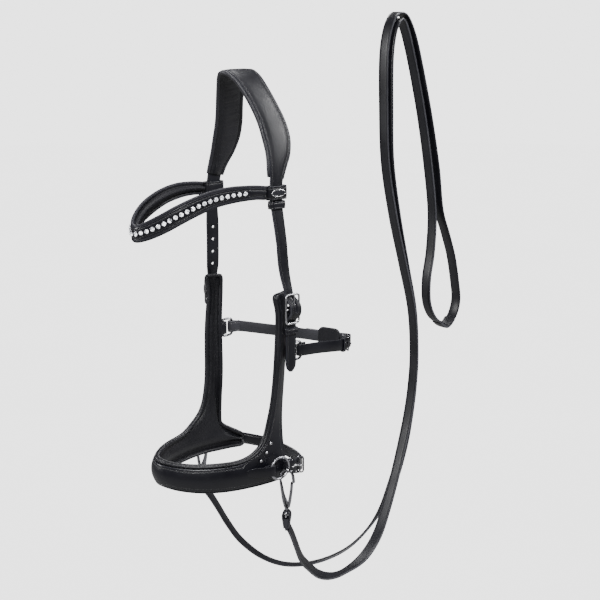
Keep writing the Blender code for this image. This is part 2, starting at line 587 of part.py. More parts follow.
def snap_hook(word, side):
    shape = [(0, -484), (-1.8, -480), (-3.2, -474), (-4.4, -466), (-5.8, -457), (-6.9, -450),
             (-7.2, -444.5),
             (-6.5, -441), (-4.6, -438.4), (-2, -437), (1, -436.8), (4, -438), (6.3, -440.6), (7.4, -444),
             (7.9, -447.6), (8.6, -451)]
    path = [hook_point(side, t, z) for t, z in shape]
    thick = [1.5, 1.5, 1.45] + [HOOK_WIRE] * 11 + [1.5, 0.7]
    across = Vector(hook_point(side, 0, 0, 1)) - Vector(hook_point(side, 0, 0))
    sweep("snap_hook_" + word, path, across, lambda i: disc(thick[i], 6), STEEL, square=True,
          origin=hook_point(side, 0, -486))
    gate = [(2.6, -480.4), (3.6, -476), (4.9, -468), (6, -460), (6.6, -454.4)]
    path = [hook_point(side, t, z) for t, z in gate]
    sweep("hook_gate_" + word, path, across, lambda i: disc([1.3, 1.2, 1.1, 1.1, 1.0][i], 6), STEEL,
          square=True,
          origin=hook_point(side, 2.6, -480.4))
    # the swivel eye under the hook lies across it, so the rein's end is seen edge on from the hook's side
    ring = [(0, -486.6), (3.6, -487), (5.6, -488.4), (6.2, -490.6), (5.4, -492.6), (0, -493.4),
            (-5.4, -492.6),
            (-6.2, -490.6), (-5.6, -488.4), (-3.6, -487)]
    path = [hook_point(side, 0, z, out) for out, z in ring]
    turn = Vector(hook_point(side, 1, 0)) - Vector(hook_point(side, 0, 0))
    sweep("hook_eye_" + word, path, turn, disc(1.1, 6), STEEL, closed=True, square=True,
          origin=hook_point(side, 0, -486))
    wrap = [(-1.3, -505), (-2, -500), (-2.9, -495.4), (-3, -492.6), (-2.1, -490.2), (0, -489.2),
            (2.1, -490.2),
            (3, -492.6), (2.9, -495.4), (2, -500), (1.3, -505)]
    path = [hook_point(side, t, z) for t, z in wrap]
    sweep("rein_end_" + word, path, across, rounded(8, 1.8, 0.4), BLACK, square=True)


def rein_across(line, side):
    """A rein hangs edge on under its hook and turns flat across the horse as it rises."""
    found = []
    for i in range(len(line)):
        t = max(0.0, min(1.0, i / (len(line) * 0.26) - 0.15))
        found.append(Vector((0.66, -0.75, 0)) * (1 - t) * side + Vector((1, 0, 0)) * t * side)
    return found


def reins():
    for name, points, side in (("rein_near", NEAR_REIN, 1), ("rein_far", FAR_REIN, -1)):
        line = [Vector(p) for p in spline(points, 58)]
        turn = rein_across(line, side)
        sweep(name, line, lambda i, turn=turn: turn[i], rounded(REIN_W, REIN_T, 0.9), BLACK, square=True)
    join = [(0, 344.6, -349), (0, 344.4, -345), (0, 344.2, -341)]
    sweep("rein_join", join, (1, 0, 0), rounded(17, 5, 1), BLACK)


def build():
    clear_scene()
    headpiece()
    crown_pad()
    browband()
    browband_loops()
    noseband()
    studs()
    for word, side in (("near", 1), ("far", -1)):
        cheek_buckle(word, side)
        cheek_keeper(word, side)
        d_ring(word, side)
        side_ring(word, side)
        snap_hook(word, side)
    throat_strap()
    chin_strap()
    reins()


build()
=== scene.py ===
"""A bitless riding bridle in black padded leather, with steel fittings and clear stones on its browband.
Tables are in millimetres: +X is the horse's left (near) side, -Y its nose, +Z up, and the crown rests on the
poll at the origin."""

from math import cos, pi, radians, sin, sqrt

import bmesh
import bpy
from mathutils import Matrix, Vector


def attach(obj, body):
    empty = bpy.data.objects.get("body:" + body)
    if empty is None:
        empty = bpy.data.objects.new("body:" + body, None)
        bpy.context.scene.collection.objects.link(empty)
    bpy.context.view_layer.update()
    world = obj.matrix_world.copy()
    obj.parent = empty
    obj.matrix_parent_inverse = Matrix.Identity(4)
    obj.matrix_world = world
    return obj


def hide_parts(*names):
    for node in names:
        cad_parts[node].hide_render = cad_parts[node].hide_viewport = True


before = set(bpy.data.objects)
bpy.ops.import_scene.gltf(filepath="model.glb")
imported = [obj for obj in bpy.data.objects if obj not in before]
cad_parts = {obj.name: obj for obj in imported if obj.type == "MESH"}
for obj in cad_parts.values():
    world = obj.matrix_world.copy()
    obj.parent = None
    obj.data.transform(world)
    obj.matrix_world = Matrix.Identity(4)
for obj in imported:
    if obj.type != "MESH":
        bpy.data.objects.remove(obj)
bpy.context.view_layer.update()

MM = 0.001
LEAN = 0.065          # the crown hangs a little low on the far side
FAR_DROP = 6.0        # the far cheek buckle hangs this much lower
FAR_TRIM = 4.2        # the far cheek is this much narrower behind
BUCKLE_Z = -249.0
RING_R, RING_WIRE, HOOK_WIRE = 12.7, 1.4, 1.7
REIN_W, REIN_T = 16.0, 3.4
ROOT = "headstall"
SIDES = (("near", 1), ("far", -1))
UP = (0, 0, 1)
VIEW_TURN, VIEW_RISE, VIEW_ANGLE = 50, 14, 30          # degrees round from the nose, up, and across the lens
VIEW_AIM, VIEW_DISTANCE, LIT_AIM = (0, 0.090, -0.2655), 1.344, (0, 0.09, -0.25)          # metres
GLOW, FLOOR_R, FLOOR_Z = 3.0, 9, -1.0
FAR_IN = 9.0          # a point well inside any leather edge, or not on leather
SHARP = 38            # edges turned by more degrees than this stay crisp
BADGE_SIDES = 48
BUCKLE_Y, THROAT_Z = 14.8, -302

# Headpiece centre line from the poll down the near side: x, y, z, width
HEAD = [
    (0, 0, 6.8, 41), (5.5, 0.8, 5.8, 39.6), (11, 2.2, 2.4, 37.6), (16.5, 4.2, -3, 35.8),
    (22.5, 6.8, -11.7, 34.4), (29, 10.3, -23.6, 33.8), (35.2, 14, -37, 34.2), (41, 17, -51, 35.6),
    (46.5, 18, -65.5, 36), (51, 16.4, -79, 32.4), (54.4, 12.8, -91.5, 26.3), (56.4, 9.7, -102.5, 22.2),
    (57.4, 7.9, -112, 19.8), (58, 6.9, -119, 18), (58.8, 6.4, -130, 16.2), (60.4, 6.3, -141, 15),
    (62.6, 8, -160, 14.2), (65, 9.8, -182, 13.8), (68, 11.6, -206, 13.8), (70.6, 12.9, -220, 13.4),
    (72.4, 13.5, -228, 13), (73.5, 13.9, -234.8, 13), (77.6, 14.4, -239.6, 13), (82.3, 14.6, -244.6, 13),
    (82.3, 14.8, -253.2, 13), (77.8, 15, -258.2, 13.4), (73.6, 15, -263, 13.8), (73.5, 15, -276, 13.8),
    (73.4, 15, -300, 13.8), (73.3, 15, -313, 13.8), (73.2, 15, -318.5, 10.5), (73.1, 15, -322, 4)]
PAD_STATIONS = 13
# Browband face, near loop to the front: x, y, z, height over the rolled edges
BROW = [
    (60.8, -8.2, -124, 15.5), (59, -20, -122.6, 16), (57, -35, -122.3, 17.2), (53, -50, -123, 18.6),
    (48, -68, -125.8, 19.6), (43, -86, -131.4, 20.6), (36.5, -104, -139, 21), (27, -120, -147.6, 20.6),
    (14.5, -132.4, -154.6, 19.6), (0, -138, -157.8, 19)]
# Noseband columns, near rear end to the front: x, y, bottom z, top z
NOSE = [
    (66.4, 13, -453, -421), (68, 5, -453, -421), (69, -8, -452.6, -421), (68.2, -24, -452.4, -421),
    (64.5, -46, -452.4, -420.8), (57.8, -67, -452.4, -420.8), (48, -86, -451.8, -420.6),
    (37, -100, -450.6, -420.4), (25, -111.5, -449, -419.4), (13, -119, -447, -418.4),
    (0, -122.4, -446.2, -417.8)]
NOSE_FAR_END = [(-63.4, 28, -452, -429), (-58, 42, -452, -436.5)]
# Cheek rows above the noseband: z, face x at mid width, front edge y, rear edge y, front edge's twist outward
CHEEK = [
    (-414.5, 66.2, -30, 11.6, 0.4), (-405, 65, -18.4, 11.3, 0.9), (-394, 64.4, -12.2, 12, 1.6),
    (-380, 64.2, -8.4, 13, 2.6), (-360, 64.8, -4.2, 14.6, 3.4), (-335, 66.4, -2.3, 16, 3.6),
    (-305, 68.3, -1, 16.6, 3.4), (-280, 68.9, 0.3, 17.4, 3.1), (-256, 68.7, 1.9, 18.6, 3),
    (-243, 68.2, -0.4, 19.4, 3), (-234, 67.6, -3.8, 19.8, 3.4)]
# Throat strap and chin strap from near to far, and the reins from their hooks to the join: x, y, z
THROAT = [
    (67.6, 36, -302), (68.6, 60, -303.4), (68, 82, -306), (65, 98, -308.6), (57, 110, -310.6),
    (48.6, 120, -311.6), (40, 124, -312), (22, 116.5, -311.6), (-4, 103, -310.6), (-30, 85.4, -309),
    (-50, 67, -306.6), (-64, 49, -303.6), (-70.4, 36, -302)]
CHIN = [
    (66.8, 28.6, -440.4), (63.6, 34.4, -442.2), (59.2, 40.6, -444.4), (51.6, 48.8, -447.4),
    (38.6, 57.8, -450), (20, 65, -451.6), (0, 68, -452.2), (-20, 67, -451.8), (-38, 61.4, -450.4),
    (-50, 53, -448.8), (-58.4, 44, -446.8)]
NEAR_REIN = [
    (76.9, 8, -507.4), (76.9, 14, -520), (75.4, 21, -536), (71, 31.6, -556), (66, 46, -573), (58, 72, -597),
    (49, 105, -613), (41, 140, -618), (34, 172, -613), (27, 200, -596), (20, 222, -568), (14, 243, -530),
    (10, 259, -492), (7, 272, -455), (5, 281, -415), (3, 285.5, -370), (1, 281.5, -310), (0, 263.6, -245),
    (0, 244, -180), (0, 228.6, -110), (0, 224, -40), (0, 223, 15), (0, 227.4, 46), (0, 236, 64),
    (0, 246.4, 69.4), (0, 258, 63), (0, 271, 40), (0, 285, 0), (0, 303, -60), (0, 319, -125),
    (0, 328.4, -180), (0, 342.6, -215), (0, 355, -247), (0, 364, -284), (0, 367.6, -309), (0, 361.6, -329),
    (0, 350.6, -339)]
FAR_REIN = [
    (-76.8, -1.6, -507.4), (-76.4, 7, -520), (-75, 17.6, -539), (-72.6, 30, -563), (-68.4, 47.4, -591),
    (-60.4, 73, -618), (-50, 100, -634.6), (-39, 130, -641), (-27, 160, -638), (-15, 188, -626),
    (-5, 212, -604), (2, 232.6, -574), (6.6, 250.6, -533), (6.4, 265.6, -493), (3, 277.8, -456),
    (0.6, 286.2, -415), (-1.4, 290, -370), (-3, 286.2, -310), (-2, 268.6, -245), (1, 248.8, -180),
    (3, 233, -110), (4, 228.5, -40), (4, 227.6, 14), (4, 231.6, 44), (4, 238.4, 58.4), (2, 246, 61.8),
    (0, 254, 56), (-3, 265.6, 37), (-4, 279.6, -1.6), (-4, 296.3, -61), (-4, 310.6, -126),
    (-3.6, 319.5, -185), (-2.4, 317, -235), (-1, 309.5, -272), (0, 310, -303), (0, 321, -325),
    (0, 337.6, -337.4)]


def disc(sides, turn=0.0):
    """Corners of a regular outline of radius 1."""
    return [(cos(2 * pi * (k + turn) / sides), sin(2 * pi * (k + turn) / sides)) for k in range(sides)]


def clamp(*values):
    """The least of the values, held between 0 and 1."""
    return max(0.0, min(1.0, *values))


def placed(name, data, place=(0, 0, 0), away=None):
    """A new object in the scene, its back turned to away."""
    item = bpy.data.objects.new(name, data)
    bpy.context.scene.collection.objects.link(item)
    item.location = place
    if away is not None:
        item.rotation_euler = away.to_track_quat("Z", "Y").to_euler()
    return item


# ---- camera, light and floor
def camera():
    azimuth, elevation = radians(VIEW_TURN), radians(VIEW_RISE)
    data = bpy.data.cameras.new("camera")
    data.sensor_width = 36
    data.angle = radians(VIEW_ANGLE)
    away = Vector((sin(azimuth) * cos(elevation), -cos(azimuth) * cos(elevation), sin(elevation)))
    bpy.context.scene.camera = placed("camera", data, Vector(VIEW_AIM) + away * VIEW_DISTANCE, away)


def light(name, place, size, power):
    data = bpy.data.lights.new(name, "AREA")
    data.shape = "DISK"
    data.size = size
    data.energy = power
    placed(name, data, place, Vector(place) - Vector(LIT_AIM))


def studio():
    light("key", (1.6, -1.2, 1.5), 0.7, 72)
    light("right", (1.1, 1.7, 0.95), 0.6, 40)
    light("left", (-1.3, -1.9, 0.4), 0.5, 34)
    light("top", (-0.3, 0.4, 2.2), 1.0, 60)
    light("back", (-2.0, 0.9, 0.9), 0.7, 12)
    world = bpy.data.worlds.new("studio")
    world.use_nodes = True
    nodes = world.node_tree.nodes
    seen, lit = nodes["Background"], nodes.new("ShaderNodeBackground")
    for shader, strength in ((seen, GLOW), (lit, 0.1)):
        shader.inputs["Color"].default_value = (1, 1, 1, 1)
        shader.inputs["Strength"].default_value = strength
    seen_or_lit(world.node_tree, seen, lit, nodes["World Output"])
    bpy.context.scene.world = world
    t = Look("pale_floor", (0.86, 0.86, 0.86), 0.9)
    mottle = t.noise(Scale=3.0, Detail=3.0)
    t.surface(Base_Color=t.mix(mottle, (0.29, 0.29, 0.29), (0.32, 0.32, 0.32)))
    glow = t.node("Emission", Strength=GLOW, Color=t.mix(mottle, (0.96, 0.96, 0.96), (1, 1, 1)))
    seen_or_lit(t.tree, glow, t.bsdf, t.tree.nodes["Material Output"])
    mesh = bpy.data.meshes.new("floor")
    mesh.from_pydata([(FLOOR_R * a, FLOOR_R * b, FLOOR_Z) for a, b in disc(64)], [], [tuple(range(64))])
    mesh.materials.append(t.material)
    placed("floor", mesh)


def seen_or_lit(tree, seen, lit, output):
    """The camera sees one pale shader, and a dimmer one lights the object, so that leather stays black."""
    path, blend = tree.nodes.new("ShaderNodeLightPath"), tree.nodes.new("ShaderNodeMixShader")
    for start, end in ((path.outputs["Is Camera Ray"], blend.inputs[0]), (lit.outputs[0], blend.inputs[1]),
                       (seen.outputs[0], blend.inputs[2]), (blend.outputs[0], output.inputs[0])):
        tree.links.new(start, end)


# ---- materials
class Look:
    """A Principled material with short names for its nodes."""

    def __init__(self, name, colour, roughness, metallic=0.0):
        self.material = bpy.data.materials.new(name)
        self.material.use_nodes = True
        self.tree = self.material.node_tree
        self.bsdf = self.tree.nodes["Principled BSDF"]
        for socket, value in (("Base Color", (*colour, 1)), ("Roughness", roughness), ("Metallic", metallic)):
            self.bsdf.inputs[socket].default_value = value
        self.spot = self.tree.nodes.new("ShaderNodeTexCoord").outputs["Object"]

    def node(self, kind, settings=None, **inputs):
        made = self.tree.nodes.new("ShaderNode" + kind)
        for key, value in (settings or {}).items():
            setattr(made, key, value)
        if kind.startswith("Tex"):
            inputs.setdefault("Vector", self.spot)
        for key, value in inputs.items():
            self.put(made.inputs[key], value)
        return made

    def noise(self, **inputs):
        return self.node("TexNoise", **inputs).outputs["Fac"]

    def put(self, socket, value):
        if isinstance(value, bpy.types.NodeSocket):
            self.tree.links.new(value, socket)
        else:
            socket.default_value = value

    def surface(self, **values):
        """Sets the shader's own sockets, named with _ for a space."""
        for key, value in values.items():
            self.put(self.bsdf.inputs[key.replace("_", " ")], value)
        return self.material

    def math(self, operation, *values):
        made = self.node("Math", {"operation": operation})
        for socket, value in zip(made.inputs, values):
            self.put(socket, value)
        return made.outputs[0]

    def mix(self, factor, one, two):
        made = self.node("Mix", {"data_type": "RGBA"}, Factor=factor)
        for socket, value in ((made.inputs["A"], one), (made.inputs["B"], two)):
            self.put(socket, value if isinstance(value, bpy.types.NodeSocket) else (*value, 1))
        return made.outputs["Result"]

    def remap(self, value, low, high, to_low=0.0, to_high=1.0, smooth=False):
        made = self.node("MapRange", {"interpolation_type": "SMOOTHSTEP" if smooth else "LINEAR"},
                         Value=value)
        for key, number in (("From Min", low), ("From Max", high), ("To Min", to_low), ("To Max", to_high)):
            self.put(made.inputs[key], number)
        return made.outputs["Result"]

    def attribute(self, name):
        return self.node("Attribute", {"attribute_name": name}).outputs["Fac"]

    def bump(self, height, depth_mm, before=None):
        made = self.node("Bump", Distance=depth_mm * MM, Strength=1.0, Height=height)
        if before is not None:
            self.put(made.inputs["Normal"], before)
        return made.outputs["Normal"]


def leather(name, dark, light_tone, gloss, grain=1.0, seam=None, wrinkle=0.0, sheen=0.0,
            painted_edge_highlight=(0.04, 0.04, 0.05), relief=1.0, reflect=0.45):
    """Dyed hide: fine pores, broad tone changes, a painted highlight along the edges, a thread line at the
    edge, soft creases.
    """
    t = Look(name, dark, gloss)
    pores = t.node("TexVoronoi", {"feature": "DISTANCE_TO_EDGE"}, Scale=1150 / grain).outputs["Distance"]
    fine = t.noise(Scale=420 / grain, Detail=5.0, Roughness=0.6)
    broad = t.noise(Scale=26.0, Detail=3.0, Roughness=0.55)
    rim, run = t.attribute("rim"), t.attribute("run")
    edge = t.remap(rim, 0.0, 1.1, 1.0, 0.0, smooth=True)
    tone = t.math("ADD", t.remap(broad, 0.3, 0.7, 0.0, 0.55), t.math("MULTIPLY", fine, 0.3))
    colour = t.mix(tone, dark, light_tone)
    # Painted highlight: the colour turns lighter along each edge, where light would catch it.
    colour = t.mix(t.math("MULTIPLY", edge, 0.75), colour, painted_edge_highlight)
    shine = t.math("ADD", t.remap(broad, 0.3, 0.7, gloss - 0.05, gloss + 0.08),
                   t.math("MULTIPLY", fine, 0.06))
    shine = t.math("SUBTRACT", shine, t.math("MULTIPLY", edge, 0.08))
    normal = t.bump(t.remap(pores, 0.0, 0.22), 0.014 * grain * relief)
    normal = t.bump(fine, 0.02 * grain * relief, normal)
    if wrinkle:
        along = t.node("CombineXYZ", X=t.math("MULTIPLY", run, 0.38)).outputs[0]
        both = t.node("VectorMath", {"operation": "MULTIPLY_ADD"})
        for socket, value in zip(both.inputs, (t.spot, (60.0, 60.0, 60.0), along)):
            t.put(socket, value)
        crease = t.noise(Vector=both.outputs[0], Scale=1.0, Detail=4.0, Roughness=0.62, Distortion=0.5)
        height = t.math("MULTIPLY", crease, t.remap(rim, 1.0, 6.0, 0.3, 1.0))
        normal = t.bump(height, wrinkle, normal)
    if seam is not None:
        beside = t.math("ABSOLUTE", t.math("SUBTRACT", rim, seam))
        thread = t.remap(beside, 0.22, 0.42, 1.0, 0.0, smooth=True)
        step = t.remap(t.math("PINGPONG", run, 1.55), 0.2, 0.45, 0.0, 1.0, smooth=True)
        stitch = t.math("MULTIPLY", thread, step)
        trench = t.remap(beside, 0.2, 0.95, 0.0, 1.0, smooth=True)
        normal = t.bump(trench, 0.3, normal)
        normal = t.bump(stitch, 0.34, normal)
        colour = t.mix(stitch, colour, (0.045, 0.045, 0.05))
        shine = t.math("ADD", shine, t.math("MULTIPLY", stitch, 0.16))
    if sheen:
        t.surface(Sheen_Weight=sheen, Sheen_Roughness=0.5)
    return t.surface(Base_Color=colour, Roughness=shine, Normal=normal, Specular_IOR_Level=reflect)


def steel(name, tone=(0.5, 0.5, 0.525), gloss=0.12):
    """Polished metal with a little haze, hairline scratches and patches of grime at random."""
    t = Look(name, tone, gloss, 1.0)
    haze = t.noise(Scale=180.0, Detail=4.0, Roughness=0.6)
    lines = t.noise(Scale=900.0, Detail=2.0, Distortion=1.5)
    return t.surface(Base_Color=t.mix(t.remap(haze, 0.35, 0.75), tone, tuple(v * 0.72 for v in tone)),
                     Roughness=t.remap(haze, 0.3, 0.7, gloss * 0.7, gloss * 2.2), Normal=t.bump(lines, 0.012))


def stone():
    """Clear foiled stones with painted glints: facets painted in bright and grey patches at random, and a
    painted glow on the bright ones that stands in for light sent back by the foil.
    """
    t = Look("clear_stone", (0.9, 0.92, 0.95), 0.05, 0.2)
    cell = t.node("TexVoronoi", Scale=620.0)
    glint_mask = t.node("SeparateColor", Color=cell.outputs["Color"]).outputs["Red"]
    glint_colour = t.mix(t.remap(glint_mask, 0.3, 0.95), (0.97, 0.98, 1.0), (0.3, 0.32, 0.36))
    # Painted glow: the emission is strongest where the patches are painted bright.
    return t.surface(Base_Color=glint_colour, Emission_Color=glint_colour,
                     Emission_Strength=t.remap(glint_mask, 0.25, 0.8, 2.6, 0.15),
                     Roughness=t.remap(glint_mask, 0.0, 1.0, 0.03, 0.16), Coat_Weight=1.0, Coat_Roughness=0.03)


def enamel():
    """Dark flecked inlay under a thin clear coat."""
    t = Look("dark_enamel", (0.02, 0.02, 0.024), 0.2)
    fleck = t.noise(Scale=500.0, Detail=3.0)
    return t.surface(Base_Color=t.mix(fleck, (0.012, 0.012, 0.016), (0.04, 0.04, 0.05)),
                     Normal=t.bump(fleck, 0.03), Coat_Weight=0.6)


BLACK, GREY = (0.0036, 0.0036, 0.0062), (0.012, 0.012, 0.0175)
camera()
studio()
PLAIN = leather("strap_leather", BLACK, GREY, 0.32)
SEWN = leather("sewn_leather", BLACK, GREY, 0.32, seam=2.3)
PANEL = leather("panel_leather", BLACK, GREY, 0.3, seam=2.6)
LINING = leather("lining_leather", (0.004, 0.004, 0.0062), (0.013, 0.013, 0.018), 0.44, 1.4, wrinkle=0.5,
                 sheen=0.05)
# A darker copy of the lining with weaker reflection: painted shade on the browband pad's inside.
SHADED_BROW_LINING = leather("shaded_browband_lining", (0.003, 0.003, 0.005), (0.01, 0.01, 0.014), 0.5, 1.4, wrinkle=0.5,
                      reflect=0.2)
CROWN = leather("crown_leather", BLACK, GREY, 0.41, seam=2.3, reflect=0.4)
ROLL = leather("rolled_leather", BLACK, (0.016, 0.016, 0.021), 0.42, wrinkle=0.03, relief=0.12)
# The reins carry a stronger painted highlight along their edges.
REIN = leather("rein_leather", (0.0028, 0.0028, 0.0048), (0.0095, 0.0095, 0.014), 0.38,
               painted_edge_highlight=(0.085, 0.085, 0.098), relief=0.12)
STEEL = steel("polished_steel", (0.62, 0.62, 0.645), 0.22)
# A darker copy of the polished steel: painted shade for the throat D-rings and the cups under the stones.
SHADED_STEEL = steel("shaded_steel", (0.3, 0.3, 0.32), 0.2)
# A much darker copy of the polished steel: painted shade for the snap hooks, their gates and the throat and
# chin buckle frames.
DEEP_SHADE_STEEL = steel("deep_shade_steel", (0.26, 0.26, 0.28), 0.07)
# A slightly darker copy of the polished steel: painted shade for the side rings and the hooks' eyes.
SOFT_SHADE_STEEL = steel("soft_shade_steel", (0.5, 0.5, 0.53), 0.27)
# A paler grey leather for the far throat strap, with a stronger painted highlight on its edges.
PALER_STRAP_LEATHER = leather("paler_strap_leather", (0.03, 0.03, 0.036), (0.062, 0.062, 0.072), 0.42, painted_edge_highlight=(0.09, 0.09, 0.1))
STONE, ENAMEL = stone(), enamel()


# ---- shapes
def spline(points, count, closed, steps, weights):
    """Even stations on a smooth curve. Columns after the third ride along."""
    size = len(points)

    def at(i):
        return points[i % size] if closed else points[max(0, min(size - 1, i))]

    dense = []
    for i in range(size if closed else size - 1):
        near = [at(i + k) for k in (-1, 0, 1, 2)]
        for share in weights(k / steps for k in range(steps)):
            dense.append([sum(w * v for w, v in zip(share, column)) for column in zip(*near)])
    dense.append(dense[0] if closed else list(points[-1]))
    return even(dense, count, closed)


def curve(points, count, closed=False):
    """A curve through every given point."""
    return spline(points, count, closed, 12, lambda steps: [
        ((-s + 2 * s * s - s ** 3) / 2, (2 - 5 * s * s + 3 * s ** 3) / 2, (s + 4 * s * s - 3 * s ** 3) / 2,
         (s ** 3 - s * s) / 2) for s in steps])


def soft_curve(points, count):
    """A closed curve that rounds the corners of its control points."""
    return spline(points, count, True, 8, lambda steps: [
        ((1 - s) ** 3 / 6, (3 * s ** 3 - 6 * s * s + 4) / 6, (-3 * s ** 3 + 3 * s * s + 3 * s + 1) / 6,
         s ** 3 / 6) for s in steps])


def running(path):
    """The length of a line up to each of its points."""
    found = [0.0]
    for a, b in zip(path, path[1:]):
        found.append(found[-1] + (Vector(b[:3]) - Vector(a[:3])).length)
    return found


def even(dense, count, closed=False):
    """Points evenly spaced by length along a dense line."""
    run, found, j = running(dense), [], 0
    for k in range(count):
        want = run[-1] * k / (count if closed else count - 1)
        while j < len(run) - 2 and run[j + 1] < want:
            j += 1
        s = (want - run[j]) / max(run[j + 1] - run[j], 1e-9)
        found.append([a + (b - a) * s for a, b in zip(dense[j], dense[j + 1])])
    return found


def tangents(path, closed=False):
    size, found = len(path), []
    for i in range(size):
        a = path[(i - 1) % size] if closed or i else path[0]
        b = path[(i + 1) % size] if closed or i < size - 1 else path[-1]
        found.append((Vector(b[:3]) - Vector(a[:3])).normalized())
    return found


def mirrored(points):
    return points + [(-p[0], *p[1:]) for p in points[-2::-1]]


def leaning(points):
    return [(p[0], p[1], p[2] + LEAN * p[0] * clamp((p[2] + 220) / 80), *p[3:]) for p in points]


def loft(rings, sides, closed=False):
    """Quads between rings of points one after another, and a cap on each end of an open row."""
    pairs = [(a * sides, (a + 1) % rings * sides) for a in range(rings if closed else rings - 1)]
    faces = [(a + k, a + (k + 1) % sides, b + (k + 1) % sides, b + k) for a, b in pairs for k in range(sides)]
    if not closed:
        faces += [tuple(range(sides))[::-1], tuple(range((rings - 1) * sides, rings * sides))]
    return faces


class Shape:
    """Points and faces in millimetres. Each point also holds rim, its distance in from a leather edge, and
    run, its distance along the strap."""

    def __init__(self):
        self.points, self.faces, self.rim, self.run, self.folds = [], [], [], [], []

    def add(self, points, faces, rim=FAR_IN, run=0.0):
        base = len(self.points)
        self.points += [Vector(p[:3]) for p in points]
        self.faces += [tuple(base + i for i in face) for face in faces]
        self.rim += rim if isinstance(rim, list) else [rim] * len(points)
        self.run += run if isinstance(run, list) else [run] * len(points)
        return self

    def sweep(self, path, across, section, closed=False, out=0.0):
        """Carries a section of (across, outward, rim) points along a path."""
        points, rims, runs = [], [], []
        for i, (place, along, run) in enumerate(zip(path, tangents(path, closed), running(path))):
            side = Vector(across(i) if callable(across) else across)
            side = (side - along * side.dot(along)).normalized()
            normal = side.cross(along).normalized()
            here = Vector(place[:3]) + normal * out
            for u, v, r in (section(i) if callable(section) else section):
                points.append(here + side * u + normal * v)
                rims.append(r)
                runs.append(run)
        return self.add(points, loft(len(path), len(points) // len(path), closed), rims, runs)

    def wire(self, path, radius, across, closed=False, sides=12):
        """A round bar. radius is one number or one for each station."""
        def section(i):
            r = radius[i] if isinstance(radius, list) else radius
            return [(r * a, r * b, FAR_IN) for a, b in disc(sides)]
        return self.sweep(path, across, section, closed)

    def between(self, outer, inner, cells, rims=None, runs=None):
        """A closed body between two grids of points over the named cells, its outline kept as a fold line."""
        index, points, rim, run, edges, faces = {}, [], [], [], {}, []
        for layer, grid in enumerate((outer, inner)):
            for i, j in sorted({(i + a, j + b) for i, j in cells for a in (0, 1) for b in (0, 1)}):
                index[layer, i, j] = len(points)
                points.append(grid[i][j])
                rim.append(rims[i][j] if rims and not layer else FAR_IN)
                run.append(runs[i][j] if runs else 0.0)
        for i, j in sorted(cells):
            loop = [(i, j), (i + 1, j), (i + 1, j + 1), (i, j + 1)]
            faces.append([index[0, a, b] for a, b in loop])
            faces.append([index[1, a, b] for a, b in loop[::-1]])
            for one, two in zip(loop, loop[1:] + loop[:1]):
                edges.setdefault(frozenset((one, two)), []).append((one, two))
        base = len(self.points)
        for found in edges.values():
            if len(found) == 1:
                one, two = found[0]
                faces.append([index[0, *two], index[0, *one], index[1, *one], index[1, *two]])
                self.folds += [frozenset((base + index[k, *one], base + index[k, *two])) for k in (0, 1)]
        return self.add(points, faces, rim, run)

    def item(self, name, crease=0.0):
        """A Blender object with all its faces turned outward."""
        mesh = bpy.data.meshes.new(name)
        mesh.from_pydata([p * MM for p in self.points], [], self.faces)
        for key, values in (("rim", self.rim), ("run", self.run)):
            mesh.attributes.new(key, "FLOAT", "POINT").data.foreach_set("value", values)
        work = bmesh.new()
        work.from_mesh(mesh)
        bmesh.ops.recalc_face_normals(work, faces=work.faces)
        if crease:
            layer = work.edges.layers.float.new("crease_edge")
            for edge in work.edges:
                if frozenset(v.index for v in edge.verts) in self.folds:
                    edge[layer] = crease
        work.to_mesh(mesh)
        work.free()
        return placed(name, mesh)

    def piece(self, cad, part, look, body=ROOT, sharp=SHARP, smooth=0, crease=0.0, name=None, slot=None):
        """A finished piece of the object, which stands for the CAD node cad."""
        item = self.item(name or f"{cad}_{part}", crease)
        mesh = item.data
        mesh.shade_smooth()
        if sharp:
            mesh.set_sharp_from_angle(angle=radians(sharp))
        mesh.materials.append(look)
        if smooth:
            more = item.modifiers.new("smooth", "SUBSURF")
            more.levels = more.render_levels = smooth
        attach(item, body)
        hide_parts(cad)
        return item


def punch(item, cutter):
    """Cuts the cutter's closed solids out of a piece."""
    tool = cutter.item("cutter")
    cut = item.modifiers.new("cut", "BOOLEAN")
    cut.operation, cut.solver, cut.object = "DIFFERENCE", "EXACT", tool
    graph = bpy.context.evaluated_depsgraph_get()
    item.data = bpy.data.meshes.new_from_object(item.evaluated_get(graph))
    item.modifiers.clear()
    item.data.set_sharp_from_angle(angle=radians(SHARP))
    bpy.data.objects.remove(tool)


def strap(width, thick, crown=0.25, line=1.5, edge=0.8):
    """Strap section: rounded edges, a creased line inside each, a slightly full face and a flat back."""
    h, t = width / 2, thick / 2
    e = min(edge, t * 0.9)
    line = min(line, h * 0.4)
    half = [(-h, -t + e, 0), (-h, t - e, 0), (-h + e * 0.3, t - e * 0.3, 0.1), (-h + e, t, 0.8),
            (-h + line, t, line), (-h + line + 0.35, t - 0.22, line + 0.35),
            (-h + line + 0.8, t + 0.05, line + 0.8), (-h * 0.45, t + crown, h * 0.55)]
    top = half + [(0, t + crown, h)] + [(-u, v, r) for u, v, r in half[::-1]]
    back = ((h - e * 0.3, -t + e * 0.3), (h - e, -t), (-h + e, -t), (-h + e * 0.3, -t + e * 0.3))
    return top + [(u, v, FAR_IN) for u, v in back]


